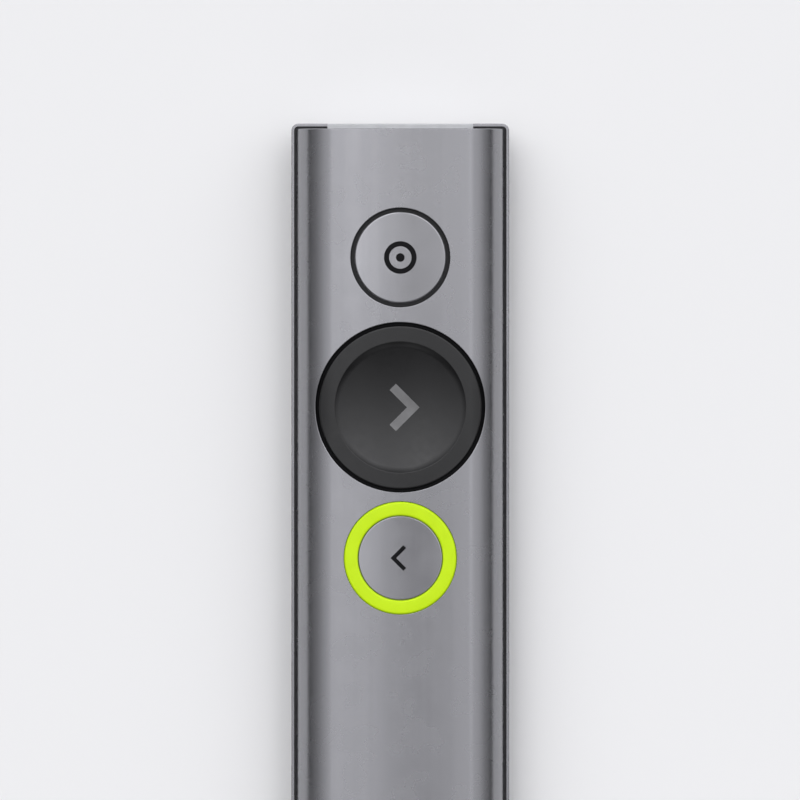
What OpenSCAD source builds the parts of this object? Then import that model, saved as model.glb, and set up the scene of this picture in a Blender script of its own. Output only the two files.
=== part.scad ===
// Wireless presentation clicker.
// X runs across the body, Y runs along it with the front end at +Y, and Z runs up through the buttons.
// The origin is on the resting face, in the middle of the whole clicker's length and width.

/* [Body] */
// Overall length, pull tab included
body_l = 131.3; // [124:0.1:145]
// Width over the bottom shell's lip
body_w = 28.1; // [27.2:0.1:31]
// Height from the resting face to the crown
body_h = 12.1; // [11.4:0.1:13]
// Thickness of the top shell
wall_t = 1.1; // [0.9:0.05:1.2]
// Thickness of the bottom shell's floor
floor_t = 1.1; // [0.8:0.05:1.2]
// Radius of the crowned top face
crown_r = 100; // [80:1:160]
// Radius of the top shell's long edges
top_edge_r = 5; // [4.6:0.1:5.5]
// Radius of the front corners, seen from above
front_corner_r = 0.9; // [0.7:0.1:1.5]

/* [Seam] */
// Height of the gasket's seat on the bottom shell
seam_z = 6.4; // [6.3:0.05:6.6]
// Thickness of the gasket between the shells
gasket_t = 0.3; // [0.2:0.05:0.4]
// Rise of the lip above the gasket
lip_rise = 0.3; // [0.1:0.05:0.5]
// Width of the lip that stands outside the gasket
lip_w = 0.35; // [0.25:0.05:0.5]
// Width of the gasket that shows beside the lip
groove_w = 0.33; // [0.2:0.01:0.5]
// Width of each snap hook
hook_w = 4; // [3:0.1:6]
// Thickness of each snap hook
hook_t = 0.8; // [0.6:0.1:0.9]
// Bite of each snap hook into the bottom shell
hook_bite = 0.3; // [0.2:0.05:0.4]
// Distance from the tail plate to the last pair of snap hooks
tail_hook_from_end = 14; // [12:0.5:18]

/* [Window] */
// Width of the status window in the front end
window_w = 18.8; // [10:0.1:20]
// Depth of the status window below the lip
window_h = 1.8; // [1.2:0.1:2.4]

/* [Buttons] */
// Distance from the front end to the pointer button
pointer_from_front = 17.3; // [16:0.1:18]
// Distance from the pointer button to the next button
next_from_pointer = 19.3; // [19.2:0.1:21]
// Distance from the next button to the back button
back_from_next = 19.4; // [19.3:0.1:21]
// Radius of the pointer button's hole
pointer_hole_r = 6.38; // [6:0.02:6.8]
// Radius of the next button's hole
next_hole_r = 10.94; // [10.4:0.02:11.1]
// Radius of the back button's hole
back_hole_r = 7.24; // [6.8:0.02:7.4]
// Gap between the pointer button and its hole
pointer_gap = 0.52; // [0.5:0.02:0.8]
// Gap between the next button and its hole
next_gap = 0.46; // [0.44:0.02:0.7]
// Width of the lime ring round the back button
ring_w = 1.76; // [1.2:0.02:2]
// Height of the lime ring above the body
ring_rise = 0.2; // [0.1:0.05:0.4]
// Depth of each black bezel below the body's face
bezel_drop = 0.45; // [0.3:0.05:0.6]
// Thickness of each bezel's flange
bezel_flange_t = 0.7; // [0.5:0.05:0.8]
// Width of each bezel's flange outside its hole
bezel_flange_w = 0.7; // [0.5:0.05:0.8]
// Travel of a button
travel = 0.35; // [0.2:0.05:0.4]
// Thickness of a button's skirt
skirt_t = 0.9; // [0.7:0.1:1.2]
// Thickness of a button's retaining flange
cap_flange_t = 0.5; // [0.4:0.05:0.6]
// Width of a button's retaining flange
cap_flange_w = 0.8; // [0.5:0.05:0.9]
// Thickness of a button's top plate
plate_t = 1.6; // [1.2:0.1:1.8]
// Radius of the post under a button
post_r = 1.3; // [1:0.1:1.4]

/* [Next button dish] */
// Radius of the dish, at its edge
dish_r = 8.38; // [7.4:0.02:8.8]
// Depth of the dish's edge below the crown
dish_edge_drop = 0.55; // [0.5:0.05:0.65]
// Further depth of the dish at its middle
dish_sag = 0.8; // [0.5:0.05:0.9]
// Width of the slope round the dish
dish_slope_w = 0.5; // [0.2:0.05:0.7]

/* [Legends] */
// Depth of each legend in its button
legend_t = 0.4; // [0.2:0.05:0.6]
// Outer radius of the pointer button's ring legend
icon_r = 2.1; // [1.6:0.1:2.6]
// Stroke of the pointer button's ring legend
icon_stroke = 0.66; // [0.3:0.02:0.7]
// Radius of the pointer button's dot legend
icon_dot_r = 0.56; // [0.3:0.02:0.7]
// Height of the next button's chevron
next_mark_h = 6.1; // [4:0.1:7]
// Stroke of the next button's chevron
next_mark_stroke = 1.15; // [0.6:0.05:1.4]
// Shift of the next button's chevron off the button's middle, the way it points
next_mark_shift = 0.55; // [0:0.05:1]
// Height of the back button's chevron
back_mark_h = 3.3; // [2.4:0.1:4.4]
// Stroke of the back button's chevron
back_mark_stroke = 0.52; // [0.3:0.02:0.8]
// Shift of the back button's chevron off the button's middle, the way it points
back_mark_shift = 0.25; // [0:0.05:0.8]

/* [Switches] */
// Side of a switch's square base
switch_w = 6; // [5.6:0.1:6.4]
// Height of a switch's base
switch_h = 1.8; // [1.6:0.05:1.9]
// Thickness of a switch's steel cover
switch_cover_t = 0.15; // [0.1:0.05:0.2]
// Radius of a switch's plunger
plunger_r = 1.4; // [1.2:0.1:1.6]
// Rise of a fully pressed plunger above its cover
plunger_spare = 0.3; // [0.2:0.05:0.4]
// Radius of a snap dome
dome_r = 2.3; // [2.1:0.05:2.4]
// Room left under a fully pressed snap dome
dome_spare = 0.1; // [0.05:0.01:0.2]
// Thickness of a snap dome's steel
dome_t = 0.08; // [0.05:0.01:0.12]

/* [Board and chassis] */
// Height of the main board's underside
board_z = 5.6; // [5.5:0.05:5.7]
// Thickness of the main board
board_t = 0.8; // [0.7:0.05:0.9]
// Gap between the main board's edge and the outer face of a chassis rail
board_side_gap = 0.15; // [0.1:0.05:0.5]
// Width of each chassis rail, between the receiver's bay and the snap hooks
rail_w = 2.47; // [2.3:0.01:2.8]
// Radius of a board screw's shank
screw_r = 0.7; // [0.6:0.05:0.8]
// Radius of a screw's head
screw_head_r = 1.3; // [1.1:0.05:1.4]
// Height of a screw's head
screw_head_h = 0.7; // [0.5:0.05:0.9]
// Length of a board screw's shank below the board
screw_l = 2.6; // [2:0.1:2.9]
// Length of a tail screw's shank
tail_screw_l = 6; // [5:0.1:7]
// Height of the bosses that carry the chassis, above the floor
boss_h = 1.2; // [1:0.05:1.4]
// Thickness of the chassis plates
chassis_plate_t = 1; // [0.8:0.05:1.1]

/* [Battery and motor] */
// Length of the battery cell
battery_l = 40; // [30:0.5:41]
// Height of the battery cell
battery_h = 3.4; // [3:0.05:3.6]
// Radius of the vibration motor's can
motor_r = 1.75; // [1.6:0.05:1.8]
// Length of the vibration motor's can
motor_l = 8; // [6:0.1:9]
// Thickness of the motor's rubber boot
boot_t = 0.25; // [0.2:0.05:0.3]
// Radius of the motor's shaft
shaft_r = 0.4; // [0.3:0.05:0.5]
// Length of the motor's eccentric weight
weight_l = 3.2; // [2:0.1:3.6]

/* [Receiver] */
// Height of the receiver's housing
receiver_h = 6.2; // [6:0.05:6.3]
// Length of the receiver's housing
receiver_l = 19; // [16:0.1:22]
// Wall of the receiver's housing
receiver_wall = 0.7; // [0.6:0.05:0.8]
// Clearance round the receiver in its bay
bay_gap = 0.1; // [0.05:0.01:0.2]
// Wall of the receiver's bay
bay_wall = 0.8; // [0.6:0.05:0.9]
// Thickness of the tail plate
tail_t = 1.5; // [1.2:0.1:2]
// Length of the pull tab outside the tail
tab_out = 4.5; // [4.2:0.1:7]
// Width of the pull tab
tab_w = 11; // [9:0.1:12]
// Thickness of the pull tab
tab_t = 1.8; // [1.4:0.1:2.2]
// Length of the lanyard slot in the pull tab
tab_slot_l = 6; // [4:0.1:7]
// Width of the lanyard slot in the pull tab
tab_slot_w = 1.8; // [1.4:0.1:2]

/* [Connectors] */
// Width of the type A plug
plug_w = 12; // [11.9:0.05:12.1]
// Height of the type A plug
plug_h = 4.5; // [4.4:0.05:4.6]
// Length of the type A plug outside the housing
plug_l = 12; // [11.5:0.1:12.5]
// Steel of the type A plug's shell
plug_t = 0.3; // [0.25:0.01:0.35]
// Width of the type C socket's shell
socket_w = 8.94; // [8.8:0.02:9.1]
// Height of the type C socket's shell
socket_h = 3.16; // [3.1:0.02:3.24]
// Length of the type C socket's shell
socket_l = 7.35; // [7:0.05:7.8]
// Steel of the type C socket's shell
socket_t = 0.3; // [0.25:0.01:0.35]

/* [Hidden] */
$fn = 72;
fine_fn = 720;       // for arcs whose radius is far larger than the piece

// Clearances
fit = 0.03;          // between pieces that are pressed or dropped together
run = 0.06;          // between a button and the bezel that guides it
loose = 0.1;         // between neighbours that only pass each other
past = 1;            // how far a cut runs past the face that it opens
far = 400;           // larger than anything in the section drawings

// Colours
slate = [0.42, 0.42, 0.44];
charcoal = [0.09, 0.09, 0.1];
black = [0.03, 0.03, 0.035];
lime = [0.8, 0.94, 0.12];
steel = [0.72, 0.73, 0.75];
gold = [0.85, 0.66, 0.28];
board_green = [0.05, 0.3, 0.16];

// The body's ends and half widths
half_w = body_w / 2;
front_y = body_l / 2;
tail_y = tab_out - body_l / 2;
shell_tail_y = tail_y + tail_t;
lip_z = seam_z + gasket_t + lip_rise;
gasket_top_z = seam_z + gasket_t;
top_inset = lip_w + groove_w;
top_half_w = half_w - top_inset;
top_front_y = front_y - top_inset;
cavity_half_w = top_half_w - wall_t;
cavity_front_y = top_front_y - wall_t;

// The snap hooks stand inside the top shell's walls, and the chassis rails inside the hooks
hook_x = cavity_half_w - loose;
rail_top_x = hook_x - hook_t - loose;
rail_in_x = rail_top_x - rail_w;

// The crown and the long edges' arcs meet at join_x
blend = 0.01;
edge_x = top_half_w - top_edge_r;
crown_angle = asin(edge_x / (crown_r - top_edge_r));
edge_z = body_h - crown_r + (crown_r - top_edge_r) * cos(crown_angle) + blend;
join_x = edge_x + top_edge_r * sin(crown_angle);

// The bottom section's sides are quarter circles that end upright at the lip
side_r = lip_z;
side_x = half_w - side_r;

// Height of the crowned face at x, with the whole section moved inwards by inset
function top_at(x, inset) =
    min(body_h - crown_r + sqrt(pow(crown_r - inset, 2) - x * x),
        abs(x) < join_x ? body_h : edge_z + sqrt(pow(top_edge_r - inset, 2) - pow(abs(x) - edge_x, 2)));

// Height of the bottom shell's inside at x, with the section moved inwards by inset
function bottom_at(x, inset) =
    abs(x) <= side_x ? inset : side_r - sqrt(pow(side_r - inset, 2) - pow(abs(x) - side_x, 2));

// Buttons, each as its place, hole, cap and heights
pointer_y = front_y - pointer_from_front;
next_y = pointer_y - next_from_pointer;
back_y = next_y - back_from_next;
pointer_cap_r = pointer_hole_r - pointer_gap;
next_cap_r = next_hole_r - next_gap;
ring_in_r = back_hole_r - ring_w;
back_cap_r = ring_in_r - run;
cap_inset = 0.05;
// The middles of the lands between the holes
front_land_y = (pointer_y - pointer_hole_r + next_y + next_hole_r) / 2;
back_land_y = (next_y - next_hole_r + back_y + back_hole_r) / 2;
dish_z = body_h - dish_edge_drop - dish_sag;
dish_plate_t = 0.85;
flat_plate_z = body_h - plate_t;
dish_plate_z = dish_z - dish_plate_t;
function bezel_bottom(hole_r) = top_at(hole_r, wall_t + bezel_flange_t) - loose;
function cap_bottom(hole_r) = bezel_bottom(hole_r) - loose - cap_flange_t;

// Switch stack, from the board up
board_top_z = board_z + board_t;
switch_floor_t = 0.4;
dome_z = board_top_z + switch_floor_t;
dome_h = travel + dome_spare;
switch_top_z = board_top_z + switch_h;
cover_top_z = switch_top_z + switch_cover_t;
plunger_top_z = cover_top_z + travel + plunger_spare;
plunger_collar_w = 0.6;
plunger_gap = 0.02;
well_r = max(plunger_r + plunger_collar_w, dome_r) + loose;

// Receiver, its bay between the rails and the charging socket at the bay's inner end
bay_z = (floor_t + body_h - wall_t) / 2;
receiver_w = 2 * (rail_in_x - loose - bay_wall - bay_gap);
receiver_end_y = tail_y + receiver_l;
receiver_end_t = 1.2;
receiver_room_half_w = receiver_w / 2 - receiver_wall;
receiver_room_half_h = receiver_h / 2 - receiver_wall;
plug_root_l = 2.4;
plug_floor_z = bay_z - plug_h / 2 + plug_t;
tongue_h = 1.84;
tongue_setback = 0.4;
plug_tip_y = receiver_end_y + plug_l;
tab_hook_l = 1.2;
bay_end_gap = 0.5;
bay_end_y = plug_tip_y + bay_end_gap;
bay_back_t = 0.8;
bay_half_w = receiver_w / 2 + bay_gap;
bay_half_h = receiver_h / 2 + bay_gap;
sleeve_half_w = bay_half_w + bay_wall;
sleeve_half_h = bay_half_h + bay_wall;
socket_y = bay_end_y + bay_back_t / 2;
socket_back_y = socket_y + socket_l;
socket_back_t = 1;

// Board
board_end_gap = 0.4;
board_front_gap = 1;
board_w = 2 * (rail_top_x - board_side_gap);
board_tail_y = bay_end_y + bay_back_t + board_end_gap;
board_front_y = cavity_front_y - board_front_gap;
tail_screw_setback = 3;
front_screw_setback = 5.9;
front_screw_y = cavity_front_y - front_screw_setback;
board_screw_ys = [board_tail_y + tail_screw_setback, front_screw_y];

// Chassis: rails along both sides, and what stands between them
rail_step_h = 0.7;
rail_step_z = board_z - rail_step_h;
rib_t = 1.2;
boss_r = 1.8;
boss_top_z = floor_t + boss_h;
boss_setback = 3.4;
boss_ys = [socket_back_y - boss_setback, front_screw_y];
screw_plate_half_l = 2.4;
screw_plate_top_z = boss_top_z + chassis_plate_t;
screw_x = board_w / 2 - screw_head_r;
tail_block_l = tail_screw_l + 2;
tail_head_sink = 0.9;
tail_screw_x = (rail_in_x + cavity_half_w - loose) / 2;
tail_block_rim = 0.8;
tail_block_top_z = bay_z + screw_head_r + tail_block_rim;

// Battery, under the board behind the socket
battery_side_gap = 0.4;
battery_end_gap = 0.4;
battery_half_w = rail_in_x - battery_side_gap;
battery_tail_gap = 2.6;
battery_tail_y = socket_back_y + battery_tail_gap;
battery_front_y = battery_tail_y + battery_l;
pad_t = 0.3;
pad_end_gap = 2;
battery_z = max(floor_t + pad_t, bottom_at(battery_half_w, floor_t) + loose);
guard_inset = 3;
guard_l = 2.2;
guard_t = 0.8;
guard_rise = 1;
guard_z = battery_z + guard_rise;

// Motor, between the battery and the front
motor_z = floor_t + loose / 2 + motor_r + boot_t;
motor_gap = 5;
motor_y = battery_front_y + motor_gap;
motor_front_y = motor_y + motor_l;
boot_end = 1;
cradle_end = 0.4;
cradle_half_w = motor_r + boot_t + rib_t;
shaft_gap = 0.02;
shaft_bore_r = shaft_r + shaft_gap;
shaft_seat_l = 2;
weight_r = motor_r;
weight_web = 0.35;
weight_gap = 0.6;
weight_flat = shaft_r + weight_web;
weight_y = motor_front_y + weight_gap;

// Snap hooks beside the pointer button, beside the back button and on to the tail
tail_hook_y = shell_tail_y + tail_hook_from_end;
hook_ys = [pointer_y, back_y, (back_y + tail_hook_y) / 2, tail_hook_y];
barb_z = board_z - loose / 2;
barb_h = 0.5;

// Pieces on the board, each as [width, length, height]. The controller chip and the radio shield share the
// room between the charging socket and the back button's switch, with equal gaps.
shield_size = [12, 11, 1.6];
controller_size = [5, 5, 0.9];
antenna_size = [7, 2, 1.2];
antenna_x = -4.5;
antenna_edge_gap = 1.2;
status_led_size = [1.6, 1.4, 0.6];
status_led_xs = [1.8, 5.8];
ring_led_size = [1, 1.6, 0.6];
chips_gap = (back_y - switch_w / 2 - socket_back_y - controller_size[1] - shield_size[1]) / 3;
controller_y = socket_back_y + chips_gap + controller_size[1] / 2;
shield_y = back_y - switch_w / 2 - chips_gap - shield_size[1] / 2;

// Draws a section (X across, Z up) as a bar from y0 to y1
module bar(y0, y1) {
    translate([0, y1, 0]) rotate([90, 0, 0]) linear_extrude(y1 - y0) children();
}

// An upright cylinder between two heights
module post(r, z0, z1) {
    translate([0, 0, z0]) cylinder(r = r, h = z1 - z0);
}

// An upright tube between two heights
module tube(r_in, r_out, z0, z1) {
    difference() {
        post(r_out, z0, z1);
        post(r_in, z0 - past, z1 + past);
    }
}

// A block between two corners
module block(low, high) {
    translate(low) cube(high - low);
}

// The same piece on both sides of the centre line
module both_sides() {
    children();
    mirror([1, 0, 0]) children();
}

// The top's section down to z_low, moved inwards by inset. Each arc stands a little past the face that it
// blends into, so that the outlines cross at one clean point.
module top_section(inset, z_low) {
    side_x = top_half_w - inset - blend;
    intersection() {
        translate([0, body_h - crown_r]) circle(r = crown_r - inset, $fn = fine_fn);
        union() {
            for (side = [-1, 1]) translate([side * edge_x, edge_z]) circle(r = top_edge_r - inset);
            translate([-join_x, edge_z]) square([2 * join_x, far]);
            translate([-side_x, -far]) square([2 * side_x, far + edge_z]);
        }
        translate([-far, z_low]) square([2 * far, far]);
    }
}

// One quarter circle of the bottom section
module side_quarter(inset) {
    translate([side_x, side_r]) intersection() {
        circle(r = side_r - inset);
        translate([0, -far]) square([far, far]);
    }
}

// The bottom's section up to the lip, moved inwards by inset
module bottom_section(inset) {
    translate([-side_x, inset]) square([2 * side_x, side_r - inset]);
    side_quarter(inset);
    mirror([1, 0]) side_quarter(inset);
}

// The room inside the bottom shell, moved inwards by gap
module bottom_room(gap) {
    intersection() {
        bottom_section(floor_t + gap);
        translate([gap - cavity_half_w, -past]) square([2 * (cavity_half_w - gap), far]);
    }
}

// Rounds the two front corners of what it is cut from
module front_corner_cuts(inset) {
    least_corner_r = 0.3;
    corner = max(front_corner_r - inset, least_corner_r);
    both_sides() translate([half_w - inset - corner, front_y - inset - corner, -past])
        linear_extrude(body_h + 2 * past) difference() {
            square(corner + past);
            circle(r = corner);
        }
}

// --- Casing ---

module bottom_shell() color(slate) {
    difference() {
        bar(shell_tail_y, front_y) bottom_section(0);
        difference() {
            bar(shell_tail_y - past, cavity_front_y) union() {
                bottom_room(0);
                translate([-cavity_half_w, side_r - past]) square([2 * cavity_half_w, 2 * past]);
            }
            for (y = boss_ys) translate([0, y, 0]) post(boss_r, 0, boss_top_z);
        }
        block([lip_w - half_w, shell_tail_y - past, seam_z], [half_w - lip_w, front_y - lip_w, lip_z + past]);
        block([-window_w / 2, cavity_front_y - past, lip_z - window_h],
              [window_w / 2, front_y + past, lip_z + past]);
        for (y = boss_ys) translate([0, y, 0]) post(screw_r + fit, floor_t / 2, boss_top_z + past);
        for (y = hook_ys) both_sides()
            block([cavity_half_w - past, y - hook_w / 2 - loose, barb_z - loose],
                  [cavity_half_w + hook_bite, y + hook_w / 2 + loose, barb_z + barb_h + loose / 2]);
        front_corner_cuts(0);
    }
}

// One snap hook on the right side: a tongue that is rooted in the shell's wall and ends in a barb
module snap_hook() {
    root_rise = 0.5;
    root_h = 1.5;
    root_z = gasket_top_z + root_rise;
    root_top_z = root_z + root_h;
    tongue_x = hook_x - hook_t;
    block([tongue_x, -hook_w / 2, barb_z], [hook_x, hook_w / 2, root_top_z]);
    block([tongue_x, -hook_w / 2, root_z], [cavity_half_w + wall_t / 2, hook_w / 2, root_top_z]);
    block([tongue_x, -hook_w / 2, barb_z], [cavity_half_w + hook_bite - loose, hook_w / 2, barb_z + barb_h]);
}

module top_shell() color(slate) {
    difference() {
        bar(shell_tail_y, top_front_y) top_section(0, gasket_top_z);
        bar(shell_tail_y - past, cavity_front_y) top_section(wall_t, gasket_top_z - past);
        translate([0, pointer_y, 0]) post(pointer_hole_r, 0, body_h + past);
        translate([0, next_y, 0]) post(next_hole_r, 0, body_h + past);
        translate([0, back_y, 0]) post(back_hole_r, 0, body_h + past);
        front_corner_cuts(top_inset);
    }
    for (y = hook_ys) both_sides() translate([0, y, 0]) snap_hook();
}

module seam_gasket() color(black)
    difference() {
        block([lip_w - half_w, shell_tail_y, seam_z], [half_w - lip_w, front_y - lip_w, gasket_top_z]);
        block([-cavity_half_w, shell_tail_y - past, 0], [cavity_half_w, cavity_front_y, body_h]);
        block([-window_w / 2, 0, 0], [window_w / 2, front_y, body_h]);
        front_corner_cuts(lip_w);
    }

module status_window() color([0.86, 0.87, 0.88]) {
    block([-window_w / 2, cavity_front_y, lip_z - window_h], [window_w / 2, front_y, gasket_top_z]);
    block([-window_w / 2, top_front_y, gasket_top_z], [window_w / 2, front_y, lip_z]);
}

module tail_frame() color(charcoal) {
    difference() {
        union() {
            bar(tail_y, shell_tail_y) union() {
                bottom_section(0);
                top_section(0, side_r - past);
            }
            block([-sleeve_half_w, shell_tail_y - past, bay_z - sleeve_half_h],
                  [sleeve_half_w, bay_end_y + bay_back_t, bay_z + sleeve_half_h]);
        }
        block([-bay_half_w, tail_y - past, bay_z - bay_half_h], [bay_half_w, bay_end_y, bay_z + bay_half_h]);
        bar(bay_end_y - past, bay_end_y + bay_back_t + past)
            socket_outline(socket_w + 2 * loose, socket_h + 2 * loose);
        both_sides() translate([tail_screw_x, tail_y, bay_z]) rotate([-90, 0, 0]) {
            post(screw_head_r + loose, -past, tail_head_sink);
            post(screw_r + loose, -past, tail_t + past);
        }
    }
}

module tail_screws() color(steel)
    both_sides() translate([tail_screw_x, tail_y + tail_head_sink, bay_z]) rotate([-90, 0, 0])
        machine_screw(tail_screw_l);

// A screw whose head's seat is at the origin, with its shank along +Z
module machine_screw(length) {
    difference() {
        post(screw_head_r, -screw_head_h, 0);
        translate([0, 0, -screw_head_h - past])
            cylinder(r = screw_head_r / 2, h = screw_head_h / 2 + past, $fn = 6);
    }
    post(screw_r, 0, length);
}

// --- Buttons ---

// A hollow cap that is flush with the crowned body, with a retaining flange and a post for the switch
module button_cap(cap_r, hole_r, plate_z) {
    skirt_z = cap_bottom(hole_r);
    difference() {
        intersection() {
            post(cap_r, skirt_z, body_h + past);
            bar(-far / 4, far / 4) top_section(cap_inset, skirt_z - past);
        }
        post(cap_r - skirt_t, skirt_z - past, plate_z);
    }
    tube(cap_r - skirt_t / 2, cap_r + cap_flange_w, skirt_z, skirt_z + cap_flange_t);
    post(post_r, plunger_top_z, plate_z + fit);
}

// A ring in a button's hole, with a flange under the shell that stops at y_low and y_high
module button_bezel(hole_r, inner_r, inset, y_low, y_high) {
    low = bezel_bottom(hole_r);
    intersection() {
        tube(inner_r, hole_r - fit, low, body_h + past);
        bar(-far / 4, far / 4) top_section(inset, low - past);
    }
    intersection() {
        tube(inner_r, hole_r + bezel_flange_w, low, body_h + past);
        block([-half_w, y_low, 0], [half_w, y_high, body_h]);
        difference() {
            bar(-far / 4, far / 4) top_section(wall_t + fit, low - past);
            bar(-far / 2, far / 2) top_section(wall_t + bezel_flange_t, low - 2 * past);
        }
    }
}

// A chevron that points along +X, centred on its own box
module chevron(height, stroke) {
    arm = height / 2;
    notch = stroke * sqrt(2);
    shift = (arm + notch / 2) / 2;
    translate([-shift, 0]) polygon([
        [notch / 2, arm], [arm + notch / 2, 0], [notch / 2, -arm],
        [0, notch / 2 - arm], [arm - notch / 2, 0], [0, arm - notch / 2]
    ]);
}

// Each legend on a crowned cap is flat on top, and flush with the cap at its outermost point
function legend_z(reach) = top_at(reach, cap_inset);

module icon_ring_solid(high_z) {
    tube(icon_r - icon_stroke, icon_r, body_h - legend_t, high_z);
}

module icon_dot_solid(high_z) {
    post(icon_dot_r, body_h - legend_t, high_z);
}

module back_mark_solid(high_z) {
    translate([-back_mark_shift, 0, body_h - legend_t]) linear_extrude(high_z - body_h + legend_t)
        mirror([1, 0]) chevron(back_mark_h, back_mark_stroke);
}

module next_mark_solid() {
    translate([next_mark_shift, 0, dish_z - legend_t]) linear_extrude(legend_t + dish_sag)
        chevron(next_mark_h, next_mark_stroke);
}

// The tool that hollows the next button: a shallow bowl with a sloping edge
module dish_cut() {
    inner_r = dish_r - dish_slope_w;
    ball_r = (inner_r * inner_r + dish_sag * dish_sag) / (2 * dish_sag);
    edge_cut_z = body_h - dish_edge_drop;
    rotate_extrude() {
        intersection() {
            translate([0, dish_z + ball_r]) circle(r = ball_r, $fn = fine_fn);
            square([inner_r, edge_cut_z]);
        }
        polygon([[0, edge_cut_z], [inner_r, edge_cut_z], [dish_r, body_h],
                 [dish_r, body_h + past], [0, body_h + past]]);
    }
}

module pointer_button() color(slate)
    translate([0, pointer_y, 0]) difference() {
        button_cap(pointer_cap_r, pointer_hole_r, flat_plate_z);
        icon_ring_solid(body_h + past);
        icon_dot_solid(body_h + past);
    }

module pointer_icon_ring() color(black) translate([0, pointer_y, 0]) icon_ring_solid(legend_z(icon_r));
module pointer_icon_dot() color(black) translate([0, pointer_y, 0]) icon_dot_solid(legend_z(icon_dot_r));
module pointer_bezel() color(black) translate([0, pointer_y, 0])
    button_bezel(pointer_hole_r, pointer_cap_r + run, bezel_drop, front_land_y + loose - pointer_y, half_w);

module next_button() color(charcoal)
    translate([0, next_y, 0]) difference() {
        button_cap(next_cap_r, next_hole_r, dish_plate_z);
        dish_cut();
        next_mark_solid();
    }

module next_chevron() color([0.5, 0.5, 0.5])
    translate([0, next_y, 0]) difference() {
        next_mark_solid();
        dish_cut();
    }

module next_bezel() color(black) translate([0, next_y, 0])
    button_bezel(next_hole_r, next_cap_r + run, bezel_drop,
                 back_land_y + loose - next_y, front_land_y - loose - next_y);

module back_button() color(slate)
    translate([0, back_y, 0]) difference() {
        button_cap(back_cap_r, back_hole_r, flat_plate_z);
        back_mark_solid(body_h + past);
    }

module back_chevron() color(black)
    translate([0, back_y, 0]) back_mark_solid(legend_z(back_mark_h / 2 + back_mark_shift));
module back_light_ring() color(lime) translate([0, back_y, 0])
    button_bezel(back_hole_r, ring_in_r, -ring_rise, -half_w, back_land_y - loose - back_y);

// --- Switches ---

module switch_base(y) color(black) translate([0, y, 0])
    difference() {
        block([-switch_w / 2, -switch_w / 2, board_top_z], [switch_w / 2, switch_w / 2, switch_top_z]);
        post(well_r, dome_z, switch_top_z + past);
    }

module switch_cover(y) color(steel) translate([0, y, 0])
    difference() {
        block([-switch_w / 2, -switch_w / 2, switch_top_z], [switch_w / 2, switch_w / 2, cover_top_z]);
        post(plunger_r + loose, switch_top_z - past, cover_top_z + past);
    }

module switch_dome(y) color(steel) translate([0, y, dome_z]) {
    ball_r = (dome_r * dome_r + dome_h * dome_h) / (2 * dome_h);
    rotate_extrude() intersection() {
        translate([0, dome_h - ball_r]) difference() {
            circle(r = ball_r, $fn = fine_fn);
            circle(r = ball_r - dome_t, $fn = fine_fn);
        }
        square([dome_r, dome_h]);
    }
}

module switch_plunger(y) color([0.6, 0.1, 0.08]) translate([0, y, 0]) {
    post(plunger_r + plunger_collar_w, dome_z + dome_h + plunger_gap, switch_top_z - plunger_gap);
    post(plunger_r, switch_top_z - 2 * plunger_gap, plunger_top_z);
}

// --- Board and chassis ---

// A wall between the chassis rails, from y0 to y1 and between two heights, that follows the shell's floor
module cross_wall(y0, y1, half_w, z_low, z_high) {
    intersection() {
        bar(y0, y1) bottom_room(loose);
        block([-half_w, y0 - past, z_low], [half_w, y1 + past, z_high]);
    }
}

// The right rail: a step beside its top clears the snap hooks
module chassis_rail() {
    rail_front_y = cavity_front_y - loose;
    intersection() {
        bar(shell_tail_y, rail_front_y) bottom_room(loose);
        union() {
            block([rail_in_x, shell_tail_y - past, 0], [rail_top_x, front_y, board_z]);
            block([rail_in_x, shell_tail_y - past, 0], [half_w, front_y, rail_step_z]);
            block([rail_in_x, shell_tail_y - past, 0], [half_w, shell_tail_y + tail_block_l, gasket_top_z]);
        }
    }
    block([rail_in_x, shell_tail_y, rail_step_z],
          [rail_top_x, shell_tail_y + tail_block_l, tail_block_top_z]);
}

module motor_cradle() {
    y0 = motor_y - cradle_end;
    y1 = motor_front_y + cradle_end;
    difference() {
        union() {
            cross_wall(y0, y1, cradle_half_w, 0, motor_z);
            cross_wall(y0, y1, rail_in_x + past, 0, floor_t + loose + chassis_plate_t);
        }
        translate([0, y0 - past, motor_z]) rotate([-90, 0, 0])
            post(motor_r + boot_t + fit, 0, y1 - y0 + 2 * past);
    }
}

module chassis() color([0.14, 0.14, 0.15])
    difference() {
        union() {
            both_sides() chassis_rail();
            for (y = boss_ys) cross_wall(y - screw_plate_half_l, y + screw_plate_half_l, rail_in_x + past,
                                         boss_top_z, screw_plate_top_z);
            cross_wall(battery_front_y + battery_end_gap, battery_front_y + battery_end_gap + rib_t,
                       rail_in_x + past, 0, board_z);
            motor_cradle();
            cross_wall(boss_ys[1] - screw_plate_half_l - rib_t, boss_ys[1] - screw_plate_half_l,
                       rail_in_x + past, 0, screw_plate_top_z);
            cross_wall(cavity_front_y - loose - rib_t, cavity_front_y - loose, rail_in_x + past, 0, board_z);
        }
        both_sides() for (y = board_screw_ys) translate([screw_x, y, 0])
            post(screw_r + fit, board_z - screw_l - loose, board_z + past);
        both_sides() translate([tail_screw_x, shell_tail_y - past, bay_z]) rotate([-90, 0, 0])
            post(screw_r + fit, 0, tail_screw_l + past);
        for (y = boss_ys) translate([0, y, 0]) post(screw_r + loose, 0, board_z);
    }

module chassis_screws() color(steel)
    for (y = boss_ys) translate([0, y, screw_plate_top_z]) mirror([0, 0, 1])
        machine_screw(chassis_plate_t + boss_h + floor_t / 2 - loose);

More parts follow.
